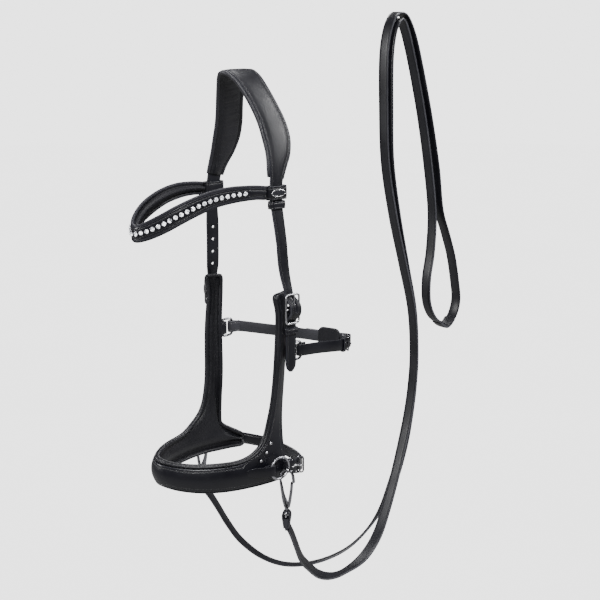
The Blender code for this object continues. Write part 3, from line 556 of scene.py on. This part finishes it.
def lining(h, depth, roll=1.9):
    """Soft pad under a leather panel: a rolled edge on each side, a groove inside it, and a full belly."""
    turn = [radians(d) for d in (38, 72, 106, 140, 175, 210, 245, 280, 316)]
    half = [(-h + 3.4, -0.3, FAR_IN), (-h + 1.3, -0.5, FAR_IN)]
    half += [(-h - 0.4 * roll + roll * cos(a), -0.6 + roll * sin(a), 0.5) for a in turn]
    half += [(u, v, FAR_IN) for u, v in
             ((-h + 1.7, -1.5), (-h + 2.9, -2.9), (-h + 5.0, -0.86 * depth), (-h * 0.5, -depth))]
    return half + [(0, -depth - 0.4, FAR_IN)] + [(-u, v, r) for u, v, r in half[::-1]]


def oblong(centre, along, across, length, width, deep, sides=16):
    """A closed rod of rounded section, used to punch holes and slots."""
    centre, along, across = Vector(centre), Vector(along).normalized(), Vector(across).normalized()
    axis = along.cross(across)
    reach = max(0.0, (length - width) / 2)
    ring = [along * (a * width / 2 + (reach if a > 0 else -reach)) + across * b * width / 2
            for a, b in disc(sides, 0.5)]
    return [centre + p + axis * s * deep / 2 for s in (-1, 1) for p in ring], loft(2, sides)


def oval_loop(half_a, half_b, corner, count=40):
    """Even stations round a rounded rectangle, in its own plane."""
    corner = min(corner, half_a - 0.01, half_b - 0.01)
    flat_a, flat_b = half_a - corner, half_b - corner
    dense = []
    for a, b, start in ((1, -1, -90), (1, 1, 0), (-1, 1, 90), (-1, -1, 180)):
        for k in range(9):
            t = radians(start + 90 * k / 8)
            dense.append([a * flat_a + corner * cos(t), b * flat_b + corner * sin(t), 0])
    return [p[:2] for p in even(dense + dense[:1], count, True)]


def sleeve(name, centre, half_in, wall, height, look, body, up=UP, facing=(0, 1, 0)):
    """A leather loop round a strap, its two ends butted and sewn underneath."""
    centre, up, facing = Vector(centre), Vector(up).normalized(), Vector(facing).normalized()
    depth = facing.cross(up)
    a, b = half_in[0] + wall / 2, half_in[1] + wall / 2
    path = [centre + facing * p + depth * q for p, q in oval_loop(a, b, min(a, b) * 0.7)]
    Shape().sweep(path, up, strap(height, wall, 0.15, 1.3, 0.5), True).piece(name, "leather", look, body)


def frame_wire(name, centre, u, v, half_u, half_v, radius, bars=(), body=ROOT, look=STEEL):
    """A buckle frame bent from round wire, with its bars across u."""
    centre, u, v = Vector(centre), Vector(u).normalized(), Vector(v).normalized()
    w = u.cross(v)
    path = [centre + u * a + v * b for a, b in oval_loop(half_u, half_v, 3.2, 64)]
    shape = Shape().sweep(path, w, [(radius * 0.85 * b, radius * a, FAR_IN) for a, b in disc(14)], True)
    for at in bars:
        shape.wire([centre + u * s * half_u + v * at for s in (-1, -0.4, 0.4, 1)], radius * 0.92, v)
    shape.piece(name, "frame", look, body, sharp=0)


def tongue(name, pivot, ahead, outward, across, reach):
    """A buckle tongue: an eye round the bar and a tapering point that rests on the frame."""
    pivot, ahead, outward, across = (Vector(v) for v in (pivot, ahead, outward, across))
    eye = [pivot + ahead * 2.3 * a + outward * 2.3 * b for a, b in disc(20)]
    shape = Shape().sweep(eye, across, [(1.1 * a, 0.6 * b, FAR_IN) for a, b in disc(10)], True)
    rod = curve([(1.2, 1.9, 0.85), (4, 2.9, 0.95), (reach * 0.4, 2.7, 0.9), (reach * 0.75, 2.95, 0.8),
                 (reach - 1.2, 3.07, 0.75), (reach - 0.2, 2.8, 0.55), (reach, 2.7, 0.2)], 20)
    path = [pivot + ahead * a + outward * b for a, b, r in rod]
    shape.wire(path, [r for a, b, r in rod], across)
    shape.piece(name, "bar", STEEL, name, sharp=0)


# ---- reins
def rein_across(count, side):
    """A rein hangs edge on under its hook and turns flat across the horse as it rises."""
    start, span = (0.115, 0.045) if side > 0 else (0.205, 0.07)
    found = []
    for i in range(count):
        t = clamp((i / count - start) / span)
        t = t * t * (3 - 2 * t)
        edge_on = Vector((0.66, -0.75, 0.24 * min(1.0, i / (count * 0.1)) ** 2))
        found.append((edge_on * (1 - t) + Vector((1, 0, 0)) * t) * side)
    return found


def hook_point(side, t, z, out=0.0):
    """A point in a hook's plane, which stands across its ring. The two hooks' planes are parallel."""
    x, y = (76.7, 5.6) if side > 0 else (-76.9, -4.4)
    return Vector((x + side * (0.75 * t + 0.66 * out), y + side * (0.66 * t - 0.75 * out), z))


def reins():
    for word, points, side in (("near", NEAR_REIN, 1), ("far", FAR_REIN, -1)):
        line = [Vector(p) for p in curve(points, 260)]
        turn = rein_across(len(line), side)
        shape = Shape().sweep(line, lambda i: turn[i], strap(REIN_W - 0.6, REIN_T - 0.7, 0.1, 1.2, 0.8))
        item = shape.piece("rein_" + word, "leather", REIN)
    join = curve([(0, 357, -333.4), (0, 351, -339.2), (0, 344.6, -342), (0, 338, -339), (0, 332, -334)], 24)
    Shape().sweep(join, (1, 0, 0), strap(17, 4.4, 0.3, 1.4, 1.2)).piece("rein_join", "leather", REIN)


# ---- headpiece and browband
def head_line():
    far = [(-x, y, z - FAR_DROP * clamp((-z - 195) / 30), w) for x, y, z, w in HEAD[1:]]
    return leaning(HEAD[:0:-1] + [HEAD[0]] + far)


def padded_share(point):
    """1 where the headpiece is padded, falling to 0 where the straps begin."""
    return clamp((point[2] + 128) / 26)


def headpiece():
    line = curve(head_line(), 330)

    def section(i):
        share = padded_share(line[i])
        thick = 3.2 - share - 0.45 * clamp((-258 - line[i][2]) / 5)
        bow = max(0.0, 1 - ((line[i][2] + 212) / 34) ** 2)
        slim = 2.2 * clamp((-198 - line[i][2]) / 32, (line[i][2] + 238) / 8)
        slim -= 1.4 * clamp((-237 - line[i][2]) / 4, (line[i][2] + 264) / 4)
        if line[i][0] < 0:
            bow = 0.0
            slim = -2.6 * clamp((-150 - line[i][2]) / 20, (line[i][2] + 236) / 12)
        found = strap(line[i][3] - 3.4 * share - slim, thick, 0.25 + 0.5 * share, 1.9, 0.8)
        return [(u - 1.7 * bow, v + share * 0.5, r) for u, v, r in found]

    item = Shape().sweep(line, (0, 1, 0), section).piece("headpiece", "leather", CROWN)
    cutter = Shape()
    for side in (1, -1):
        z = BUCKLE_Z + 5.3 - (FAR_DROP if side < 0 else 0)
        cutter.add(*oblong((side * 80, 14.8, z), UP, (0, 1, 0), 17, 3.2, 16))
    for k in range(4):
        cutter.add(*oblong((-67.2 - k, 11 + k * 0.5, -175.5 - 15.2 * k), UP, (0.37, 0.93, 0), 3.3, 3.3, 14))
    punch(item, cutter)


def crown_pad():
    half = HEAD[:PAD_STATIONS]
    line = curve(leaning(half[:0:-1] + [half[0]] + [(-p[0], *p[1:]) for p in HEAD[1:PAD_STATIONS + 1]]),
                 199)[2:-7]
    size = len(line)

    def section(i):
        share = padded_share(line[i])
        end = min(i, size - 1 - i) / 7
        puff = sqrt(max(0.12, min(1.0, end * (2 - min(end, 1.0)))))
        ripple = 0.16 * sin(i * 1.9) + 0.16 * sin(i * 0.83 + 1.1)
        found = lining(line[i][3] / 2 - 1.7 * share, 5.6 + ripple, 2.15)
        return [(u, v * puff, r) for u, v, r in found]

    item = Shape().sweep(line, (0, 1, 0), section, out=-0.75).piece("crown_pad", "soft", LINING, sharp=0)


def browband():
    line = curve(leaning(mirrored(BROW)), 181)
    body = "browband_set"
    band = Shape().sweep(line, UP, lambda i: strap(line[i][3] - 5.8, 2.4, 0.35, 1.5, 0.8), out=-1.2)
    band.piece("browband", "leather", SEWN, body)

    def section(i):
        return lining(line[i][3] / 2 - 2.9, 5.2 + 0.1 * sin(i * 1.7) + 0.08 * sin(i * 0.71), 2.05)

    soft = Shape().sweep(line, UP, section, out=-1.6)
    soft = soft.piece("browband_pad", "soft", SHADED_BROW_LINING, body, sharp=0)
    crystals(even(line[15:-15], 40), body)


def crystals(spots, body):
    """A row of foiled stones, each held by a thin cup with four claws."""
    stones, cups = Shape(), Shape()
    for i, (place, along) in enumerate(zip(spots, tangents(spots))):
        up = (Vector(UP) - along * along.z).normalized()
        face = up.cross(along).normalized()
        here = Vector(place[:3]) + face * 0.35

        def rings(sides, *levels):
            return [here + face * rise + (along * a + up * b) * radius
                    for radius, rise, turn in levels for a, b in disc(sides, turn)]

        turn = (i * 0.37) % 1
        facets = rings(8, (2.3, 0.6, turn), (2.3, 0.85, turn), (1.95, 1.5, turn + 0.5), (1.2, 2.0, turn))
        stones.add(facets, loft(4, 8))
        cups.add(rings(14, (2.66, 0.0, 0), (2.76, 1.0, 0), (2.45, 1.08, 0), (2.2, 0.5, 0)), loft(4, 14))
        for a, b in disc(4, 0.5):
            spoke = along * a + up * b
            claw = ((2.76, 0.2), (2.66, 1.2), (2.2, 1.75), (1.9, 1.85))
            claw = [here + spoke * r + face * h for r, h in claw]
            cups.wire(claw, [0.34, 0.36, 0.32, 0.2], spoke.cross(face), sides=6)
    stones.piece("crystal_row", "", STONE, body, sharp=1, name="crystals")
    cups.piece("crystal_row", "", SHADED_STEEL, body, name="crystal_cups", slot="crystal")


def browband_loops():
    body = "browband_set"
    for word, side in SIDES:
        lean = LEAN * side * 57
        sleeve("browband_loop_" + word, (side * 58.2, 6.9, lean - 124.5), (11.1, 3.4), 2.0, 15, SEWN, body)
        sleeve("strap_collar_" + word, (side * 60, 6.4, lean - 137.7), (8.6, 2.9), 1.7, 8.5, PLAIN, ROOT)
    centre = Vector((64.0, 5.9, -120.8))
    oval = [(9.2 * a, 3.7 * b) for a, b in disc(BADGE_SIDES)]

    def plate(levels):
        """Rings of the oval, each as a height out from the badge's middle and a share of its size."""
        points = [centre + Vector((x, p * s, q * s)) for x, s in levels for p, q in oval]
        return points, loft(len(levels), BADGE_SIDES)

    rim = Shape().wire([centre + Vector((0.55, p, q)) for p, q in oval], 0.62, (1, 0, 0), True, 10)
    rim.add(*plate(((-0.1, 1), (0.3, 1)))).piece("badge", "rim", STEEL, body)
    dome_levels = ((0.3, 0.94), (0.55, 0.92), (0.8, 0.75), (0.95, 0.45), (1.0, 0.1))
    Shape().add(*plate(dome_levels)).piece("badge", "inlay", ENAMEL, body)


# ---- noseband and cheeks
def nose_columns():
    line = mirrored(NOSE) + NOSE_FAR_END
    along = tangents([(p[0], p[1], 0) for p in line])
    normals = [Vector((t.y, -t.x, 0)).normalized() * -1 for t in along]
    return line, [n if n.dot(Vector((p[0], p[1] + 40, 0))) > 0 else -n for n, p in zip(normals, line)]


def x_on_band(y):
    for (x0, y0, *_), (x1, y1, *_) in zip(NOSE, NOSE[1:]):
        if y1 <= y <= y0:
            return x0 + (x1 - x0) * (y - y0) / (y1 - y0)
    return NOSE[0][0]


def nose_grid(shift, grow, dish, ease=0.0):
    """Columns of points over the noseband and both cheeks, with rim and run at each."""
    line, normals = nose_columns()
    turn, last = 2 * len(NOSE) - 2, len(line) - 1
    stations, columns, rims, runs = running([p[:2] for p in line]), [], [], []
    for i, ((x, y, bottom, top), normal) in enumerate(zip(line, normals)):
        k, side = min(i, turn - i), 1 if i < len(NOSE) else -1
        middle, half = (top + bottom) / 2, (top - bottom) / 2 - 2.4
        end = min(stations[i], stations[last] - stations[i])
        column, rim, run = [], [], []
        for r in range(5):
            reach = (r / 2 - 1) * (half + grow)
            rise = (reach / half) ** 2
            off = shift + 3.2 * rise + dish * (1 - (r / 2 - 1) ** 2)
            if 0 <= k < 4 and r == 4:
                off = shift + 1.6 + dish * 0.5
            if r == 4 and k > 2:
                off += ease
            column.append(Vector((x, y, middle + reach)) - normal * off)
            edge = [half + reach, end]
            if not 0 <= k < 4:
                edge.append(half - reach)
            elif r == 4:
                edge.append(abs(NOSE[k][1] - NOSE[4][1]))
            rim.append(max(0.0, min(edge)))
            run.append(stations[i])
        if 0 <= k <= 4:
            share = (NOSE[k][1] - NOSE[0][1]) / (NOSE[4][1] - NOSE[0][1])
            for z, face, front, rear, twist in CHEEK:
                rear, front = rear - 2.2, front + 2.4
                if side < 0:
                    rear -= FAR_TRIM * clamp((z + 408) / 30)
                    front += 2.4 * clamp((z + 300) / 40)
                here = rear + (front - rear) * share + grow * (1 - 2 * share)
                level = 2 * (rear - here) / (rear - front) - 1
                mix = clamp((z + 421) / 34)
                depth = shift + 0.9 * level ** 2 + dish * 0.45 * (1 - (2 * share - 1) ** 4)
                depth = depth * mix + (shift + 1.6 + dish * 0.5) * (1 - mix)
                out = x_on_band(here) * (1 - mix) + face * mix + twist * level - depth
                column.append(Vector((side * out, here, z)))
                rim.append(min(share, 1 - share) * (rear - front))
                run.append(stations[i] + (z + 421))
        columns.append(column)
        rims.append(rim)
        runs.append(run)
    return columns, rims, runs


def nose_outline(grid):
    """The edge of the noseband and cheeks, once round."""
    turn, last, top = 2 * len(NOSE) - 2, len(grid) - 1, 4 + len(CHEEK)
    corners = [(0, 0), (last, 0), (last, 4), (turn, 4), (turn, top), (turn - 4, top), (turn - 4, 4), (4, 4),
               (4, top), (0, top), (0, 0)]
    way = []
    for (i, r), (p, q) in zip(corners, corners[1:]):
        steps = abs(p - i) + abs(q - r)
        way += [(i + (p - i) * n // steps, r + (q - r) * n // steps) for n in range(steps)]
    return [grid[i][r] for i, r in way]


def noseband():
    turn = 2 * len(NOSE) - 2
    cells = [(i, r) for i in range(turn + len(NOSE_FAR_END)) for r in range(4)]
    cells += [(i, r) for k in range(4) for i in (k, turn - 1 - k) for r in range(4, 4 + len(CHEEK))]
    grid, rims, runs = nose_grid(0, 0, 0)
    under, _, _ = nose_grid(2.6, 0, 0)
    panel = Shape().between(grid, under, cells, rims, runs)
    panel.piece("noseband", "leather", PANEL, sharp=0, smooth=3, crease=0.8)
    face, _, runs = nose_grid(3.0, 1.2, 0, 1.2)
    back, _, _ = nose_grid(5.2, -3.4, 6.2, 1.2)
    soft = Shape().between(face, back, cells, None, runs)
    soft = soft.piece("noseband_pad", "soft", LINING, sharp=0, smooth=3, crease=0.3)
    for n, (shift, grow, radius) in enumerate(((1.7, 1.7, 1.5), (5.3, 1.8, 2.3))):
        edge, _, _ = nose_grid(shift, grow, 0)
        path = soft_curve(nose_outline(edge), 900)
        piping = Shape().wire(path, radius, (0.3, 0.2, 1), True)
        piping.piece("noseband_pad", "", ROLL, sharp=0, name=f"noseband_piping_{n + 1}")


def dome(centre, side, radius=2.1, height=1.6, rings=5, sides=20):
    """A low domed stud head with a short skirt, facing out to one side."""
    points = []
    for r in range(rings + 1):
        a = 0.5 * pi * max(0, r - 1) / rings * 1.08
        rise = height * (0.15 + 0.85 * sin(a)) if r else 0.0
        points += [centre + Vector((side * rise, radius * cos(a) * p, radius * cos(a) * q))
                   for p, q in disc(sides)]
    return points, loft(rings + 1, sides)


def studs():
    for word, side in SIDES:
        for n, (x, y, z) in enumerate([(66.5, -9, -404), (67, -15.5, -413.5), (67.3, -23.5, -421.5)]):
            Shape().add(*dome(Vector((side * x, y, z)), side)).piece(f"stud_{word}_{n + 1}", "head", STEEL)


# ---- cheek buckles
def cheek_buckle(word, side):
    drop = FAR_DROP if side < 0 else 0
    x, y, z = 76.9 * side, BUCKLE_Y, BUCKLE_Z - drop
    frame_wire("cheek_buckle_" + word, (x, y, z), (0, 1, 0), UP, 9.1, 16.4, 1.2, (0,))
    fold = [(71.2, z - 14), (71.8, z - 9), (73.4, z - 4.5), (74.5, z - 1.6), (74.9, z + 1.2), (75.8, z + 3),
            (76.9, z + 3.5), (78.1, z + 2.9), (78.9, z + 1.2), (79.1, z - 1.2), (78.3, z - 3.4),
            (76.7, z - 6)]
    path = curve([(side * a, y, b) for a, b in fold], 48)
    item = Shape().sweep(path, (0, 1, 0), strap(13, 1.2, 0.1, 1.4, 0.4))
    item = item.piece("cheek_chape_" + word, "leather", PLAIN)
    punch(item, Shape().add(*oblong((side * 78.2, y, z + 0.6), UP, (0, 1, 0), 12, 3.6, 9.4)))
    tongue("cheek_tongue_" + word, (x, y, z), UP, (side, 0, 0), (0, 1, 0), 18.2)
    keeper = "cheek_keeper_" + word
    sleeve(keeper, (side * 73.75, 15, -274.5 - drop), (7.6, 1.95), 1.5, 7, PLAIN, keeper)


# ---- throat strap
def d_ring(word, side):
    x = 65.4 * side
    plan = [(22.6, -9), (22.6, -4), (22.6, 4), (22.6, 9), (23.8, 10.4), (29.6, 10.4), (33.8, 9.8), (35.7, 8),
            (36, 4), (36, -4), (35.7, -8), (33.8, -9.8), (29.6, -10.4), (23.8, -10.4)]
    path = curve([(x, y, z + THROAT_Z) for y, z in plan], 70, True)
    Shape().wire(path, 1.4, (1, 0, 0), True).piece("throat_ring_" + word, "wire", SHADED_STEEL, sharp=0)
    root = 17.8 if side > 0 else 12.0
    bend = [(67.9, root), (67.9, 23.4), (67.2, 26), (65.4, 27.2), (63.6, 26), (62.9, 23.4), (62.9, root)]
    bend = curve([(side * a, b, THROAT_Z) for a, b in bend], 30)
    Shape().sweep(bend, UP, strap(15, 1.5, 0.1, 1.4, 0.5)).piece("throat_tab_" + word, "leather", PLAIN)


def offset_plan(line, out):
    """Moves a level line sideways, outward from the middle of the head."""
    found = []
    for place, along in zip(line, tangents(line)):
        normal = Vector(UP).cross(along).normalized()
        if normal.dot(Vector((place[0], place[1] - 30, 0))) < 0:
            normal = -normal
        found.append(Vector(place[:3]) + normal * out)
    return found


def ring_end(line, centre, inward, radius=3.5):
    """Starts a strap with a turn round a ring's upright side and a short leaf laid back along it."""
    centre, inward = Vector(centre), Vector(inward)
    along = Vector((0, 1, 0))
    leaf = [centre + inward * (radius - 0.7) + along * 9, centre + inward * radius + along * 4.5]
    turn = [centre + (inward * cos(a) - along * 1.3 * sin(a)) * radius
            for a in [k * pi / 5 for k in range(6)]]
    return leaf + turn + list(line)


class Buckle:
    """Where a buckle's heel bar stands: ahead points to the frame's far end, outward away from the head."""

    def __init__(self, heel, ahead, length, rise):
        self.heel, self.ahead = Vector(heel), Vector(ahead).normalized()
        self.outward = self.ahead.cross(Vector(UP)).normalized()
        if self.outward.dot(Vector((heel[0], heel[1] - 30, 0))) < 0:
            self.outward = -self.outward
        self.length = length
        self.lean = (self.ahead * sqrt(length ** 2 - rise ** 2) + self.outward * rise).normalized()
        self.slot = (self.at(6, 4.2), self.ahead, UP, 15.6, 3.4, 9)
        self.fold_slot = (self.at(0.9, 0), self.ahead, UP, 8.6, 3.4, 10)

    def at(self, along, out, up=0.0):
        return self.heel + self.ahead * along + self.outward * out + Vector((0, 0, up))

    def parts(self, name, half, body):
        """The frame and its tongue, both on the heel bar."""
        end, up = self.length, Vector(UP)
        out = self.lean.cross(up).normalized()
        if out.dot(self.outward) < 0:
            out = -out
        frame_wire(name + "_buckle", self.heel + self.lean * end / 2, up, self.lean, half + 1.05, end / 2,
                   1.1, body=body, look=DEEP_SHADE_STEEL)
        tongue(name + "_tongue", self.heel, self.lean, out, up, end + 1.6)

    def fold(self):
        """The chape's way round the heel bar."""
        return [self.at(*p) for p in (
            (-5.6, 0.4), (-3.2, 1.9), (-0.9, 2.6), (1.2, 2.35), (2.5, 0.9), (2.5, -0.9), (1.2, -2.4),
            (-1, -3.1), (-4.5, -3.8), (-8.5, -4.3))]

    def over(self, tail=2.3):
        """The strap's way over the frame and through it."""
        end = self.length
        return [self.at(*p) for p in (
            (end + 2, 1.9), (end - 3, 2.6), (7.5, 4.1), (3, 5.1), (-1, 5.2), (-5, 4.5), (-9.5, tail))]


def flat_strap(name, points, width, thick, body, cut, look=SEWN, density=2.2):
    """A strap along given points, with a slot punched for a buckle's tongue."""
    path = curve(points, int(running(points)[-1] / density))
    item = Shape().sweep(path, UP, strap(width, thick, 0.2, 1.6, 0.55)).piece(name, "leather", look, body)
    punch(item, Shape().add(*oblong(*cut)))


def throat_strap():
    buckle = Buckle((47.6, 121.2, -311.5), (0.64, -0.768, 0.05), 15, 5.4)
    line, body = curve(THROAT, 101), "throat_lash"
    start = offset_plan(line[0:30], 1.3)[2::4]
    tail = offset_plan(line[42:64], 1.5)[4::3]
    billet = ring_end(start, (65.4, 36, -302), (-1, 0, 0)) + buckle.over() + tail
    flat_strap("throat_billet", billet, 13.5, 2, body, buckle.slot)
    far = offset_plan(line[43:99], -1.3)[2::4]
    lash = ring_end(far[::-1], (-65.4, 36, -302), (1, 0, 0)) + buckle.fold()
    flat_strap("throat_strap", lash, 13.5, 2, body, buckle.fold_slot, PALER_STRAP_LEATHER)
    buckle.parts("throat", 8, body)
    guard = curve([[p.x, p.y, p.z + 2] for p in offset_plan(line[41:54], -7)], 40)

    def section(i):
        t = 2 * i / 39 - 1
        high = 24.5 * (1 - 0.36 * t ** 6) / 2
        return [(high * u, v, 0.8 if abs(u) > 0.85 else FAR_IN) for u, v in (
            (-1, 0), (-0.98, 0.9), (-0.9, 1.3), (-0.8, 0.9), (0, 1.2), (0.8, 0.9), (0.9, 1.3), (0.98, 0.9),
            (1, 0), (0.97, -0.9), (0.8, -1.3), (0, -1.7), (-0.8, -1.3), (-0.97, -0.9))]

    soft = Shape().sweep(guard, UP, section).piece("throat_guard", "soft", LINING, body, sharp=0)
    where = offset_plan(line[24:30], 1.3)
    sleeve("throat_keeper", where[3], (7.2, 1.7), 1.4, 5.5, PLAIN, body, where[4] - where[2], UP)


# ---- chin strap
def chin_strap():
    buckle = Buckle((64.2, 20, -438.6), (-0.2, 0.98, -0.16), 14.5, 5.2)
    points = [Vector((71, 5.4, -436))] + buckle.over(4.4)[::-1] + [Vector(p) for p in CHIN[2:]]
    flat_strap("chin_strap", points, 14.5, 2, ROOT, buckle.slot)
    chape = [Vector((64.2, 14.2, -437.8))] + buckle.fold()[:-1]
    flat_strap("chin_chape", chape, 14.5, 1.8, ROOT, buckle.fold_slot, PLAIN, 1.2)
    buckle.parts("chin", 8.6, ROOT)
    sleeve("chin_keeper", CHIN[2], (9.2, 3.2), 1.3, 5.5, PLAIN, ROOT, Vector(CHIN[3]) - Vector(CHIN[1]), UP)


# ---- side rings and hooks
def side_ring(word, side):
    x, y, z = 74.2 * side, -2, -433.4
    path = [(x, y + RING_R * a, z + RING_R * b) for a, b in disc(72)]
    ring = "side_ring_" + word
    Shape().wire(path, RING_WIRE, (1, 0, 0), True).piece(ring, "wire", SOFT_SHADE_STEEL, ring, sharp=0)
    bend = [(63.4, -42), (66.6, -35), (70.6, -27.5), (75.2, -19.5), (77.3, -13.4), (76.2, -10.6),
            (74.2, -9.6), (72.4, -10.6), (71.5, -12.8), (71.4, -16), (71.2, -21)]
    bend = curve([(side * a, b, z) for a, b in bend], 34)
    Shape().sweep(bend, UP, lambda i: strap(min(11.5, 7 + i * 0.6), 1.5, 0.15, 1.4, 0.5)).piece(
        "ring_fold_" + word, "leather", SEWN)


def snap_hook(word, side):
    body = "snap_hook_" + word
    shape = [(0, -485, 2.4), (-0.2, -483.2, 2.4), (-1.6, -480, 2.2), (-3.2, -474, 2.1), (-4.4, -466, 2.1),
             (-5.8, -457, 1.85), (-6.9, -450, 1.4), (-7.2, -444.5, 1.2), (-6.5, -441, 1.4),
             (-4.6, -438.4, HOOK_WIRE), (-2, -437, HOOK_WIRE), (1, -436.8, HOOK_WIRE), (4, -438, HOOK_WIRE),
             (6.3, -440.6, HOOK_WIRE), (7.4, -444, 1.8), (7.9, -447.6, 1.8), (8.3, -450.8, 1.7),
             (8.5, -452.4, 0.9)]
    line = curve(shape, 110)
    path = [hook_point(side, t, z) for t, z, r in line]
    across, turn = (hook_point(side, *a) - hook_point(side, 0, 0) for a in (UP, (1, 0)))
    hook = Shape().wire(path, [p[2] for p in line], across)
    web = curve([(-0.2, -484.4, 2.6), (0.2, -480, 4.6), (-0.6, -476, 4.4), (-2.2, -470, 2.6),
                 (-3.4, -464, 1.2)], 16)
    blade = ((-1, 0), (-0.8, 0.75), (0.8, 0.75), (1, 0), (0.8, -0.75), (-0.8, -0.75))
    hook.sweep([hook_point(side, t, z) for t, z, width in web], turn,
               lambda i: [(web[i][2] * u / 2, v, FAR_IN) for u, v in blade])
    hook.piece(body, "wire", DEEP_SHADE_STEEL, body, sharp=40)
    gate = curve([(1.9, -482.4, 1.9), (3.4, -476, 1.9), (4.6, -468, 1.8), (5.6, -460, 1.7), (6.1, -453, 1.6),
                  (6.2, -450.8, 0.9)], 30)
    path = [hook_point(side, t, z) for t, z, r in gate]
    name = "hook_gate_" + word
    Shape().wire(path, [p[2] for p in gate], across).piece(name, "wire", DEEP_SHADE_STEEL, name, sharp=0)
    ring = [(0, -486.6), (3.6, -487), (5.6, -488.4), (6.2, -490.6), (5.4, -492.6), (0, -493.4),
            (-5.4, -492.6), (-6.2, -490.6), (-5.6, -488.4), (-3.6, -487)]
    path = curve([hook_point(side, 0, z, out) for out, z in ring], 56, True)
    Shape().wire(path, 1.1, turn, True).piece("hook_eye_" + word, "wire", SOFT_SHADE_STEEL, sharp=0)
    wrap = [(-2.2, -507), (-3, -501), (-3.9, -495.4), (-4, -491.6), (-2.9, -488.6), (0, -487.2),
            (2.9, -488.6), (4, -491.6), (3.9, -495.4), (3, -501), (2.2, -507)]
    path = curve([hook_point(side, t, z) for t, z in wrap], 44)
    end = Shape().sweep(path, across, strap(10, 2.2, 0.15, 1.3, 0.6))
    core = ((0, -495), (0, -500), (0, -505), (0.4, -509.5))
    core = curve([hook_point(side, t, z) for t, z in core], 14)
    end.sweep(core, across, lambda i: strap(11.5, 6.2 - 0.26 * i, 0.1, 1.3, 0.6))
    end.piece("rein_end_" + word, "leather", PLAIN)


def build():
    reins()
    headpiece()
    crown_pad()
    browband()
    browband_loops()
    noseband()
    studs()
    for word, side in SIDES:
        cheek_buckle(word, side)
        d_ring(word, side)
        side_ring(word, side)
        snap_hook(word, side)
    throat_strap()
    chin_strap()


build()
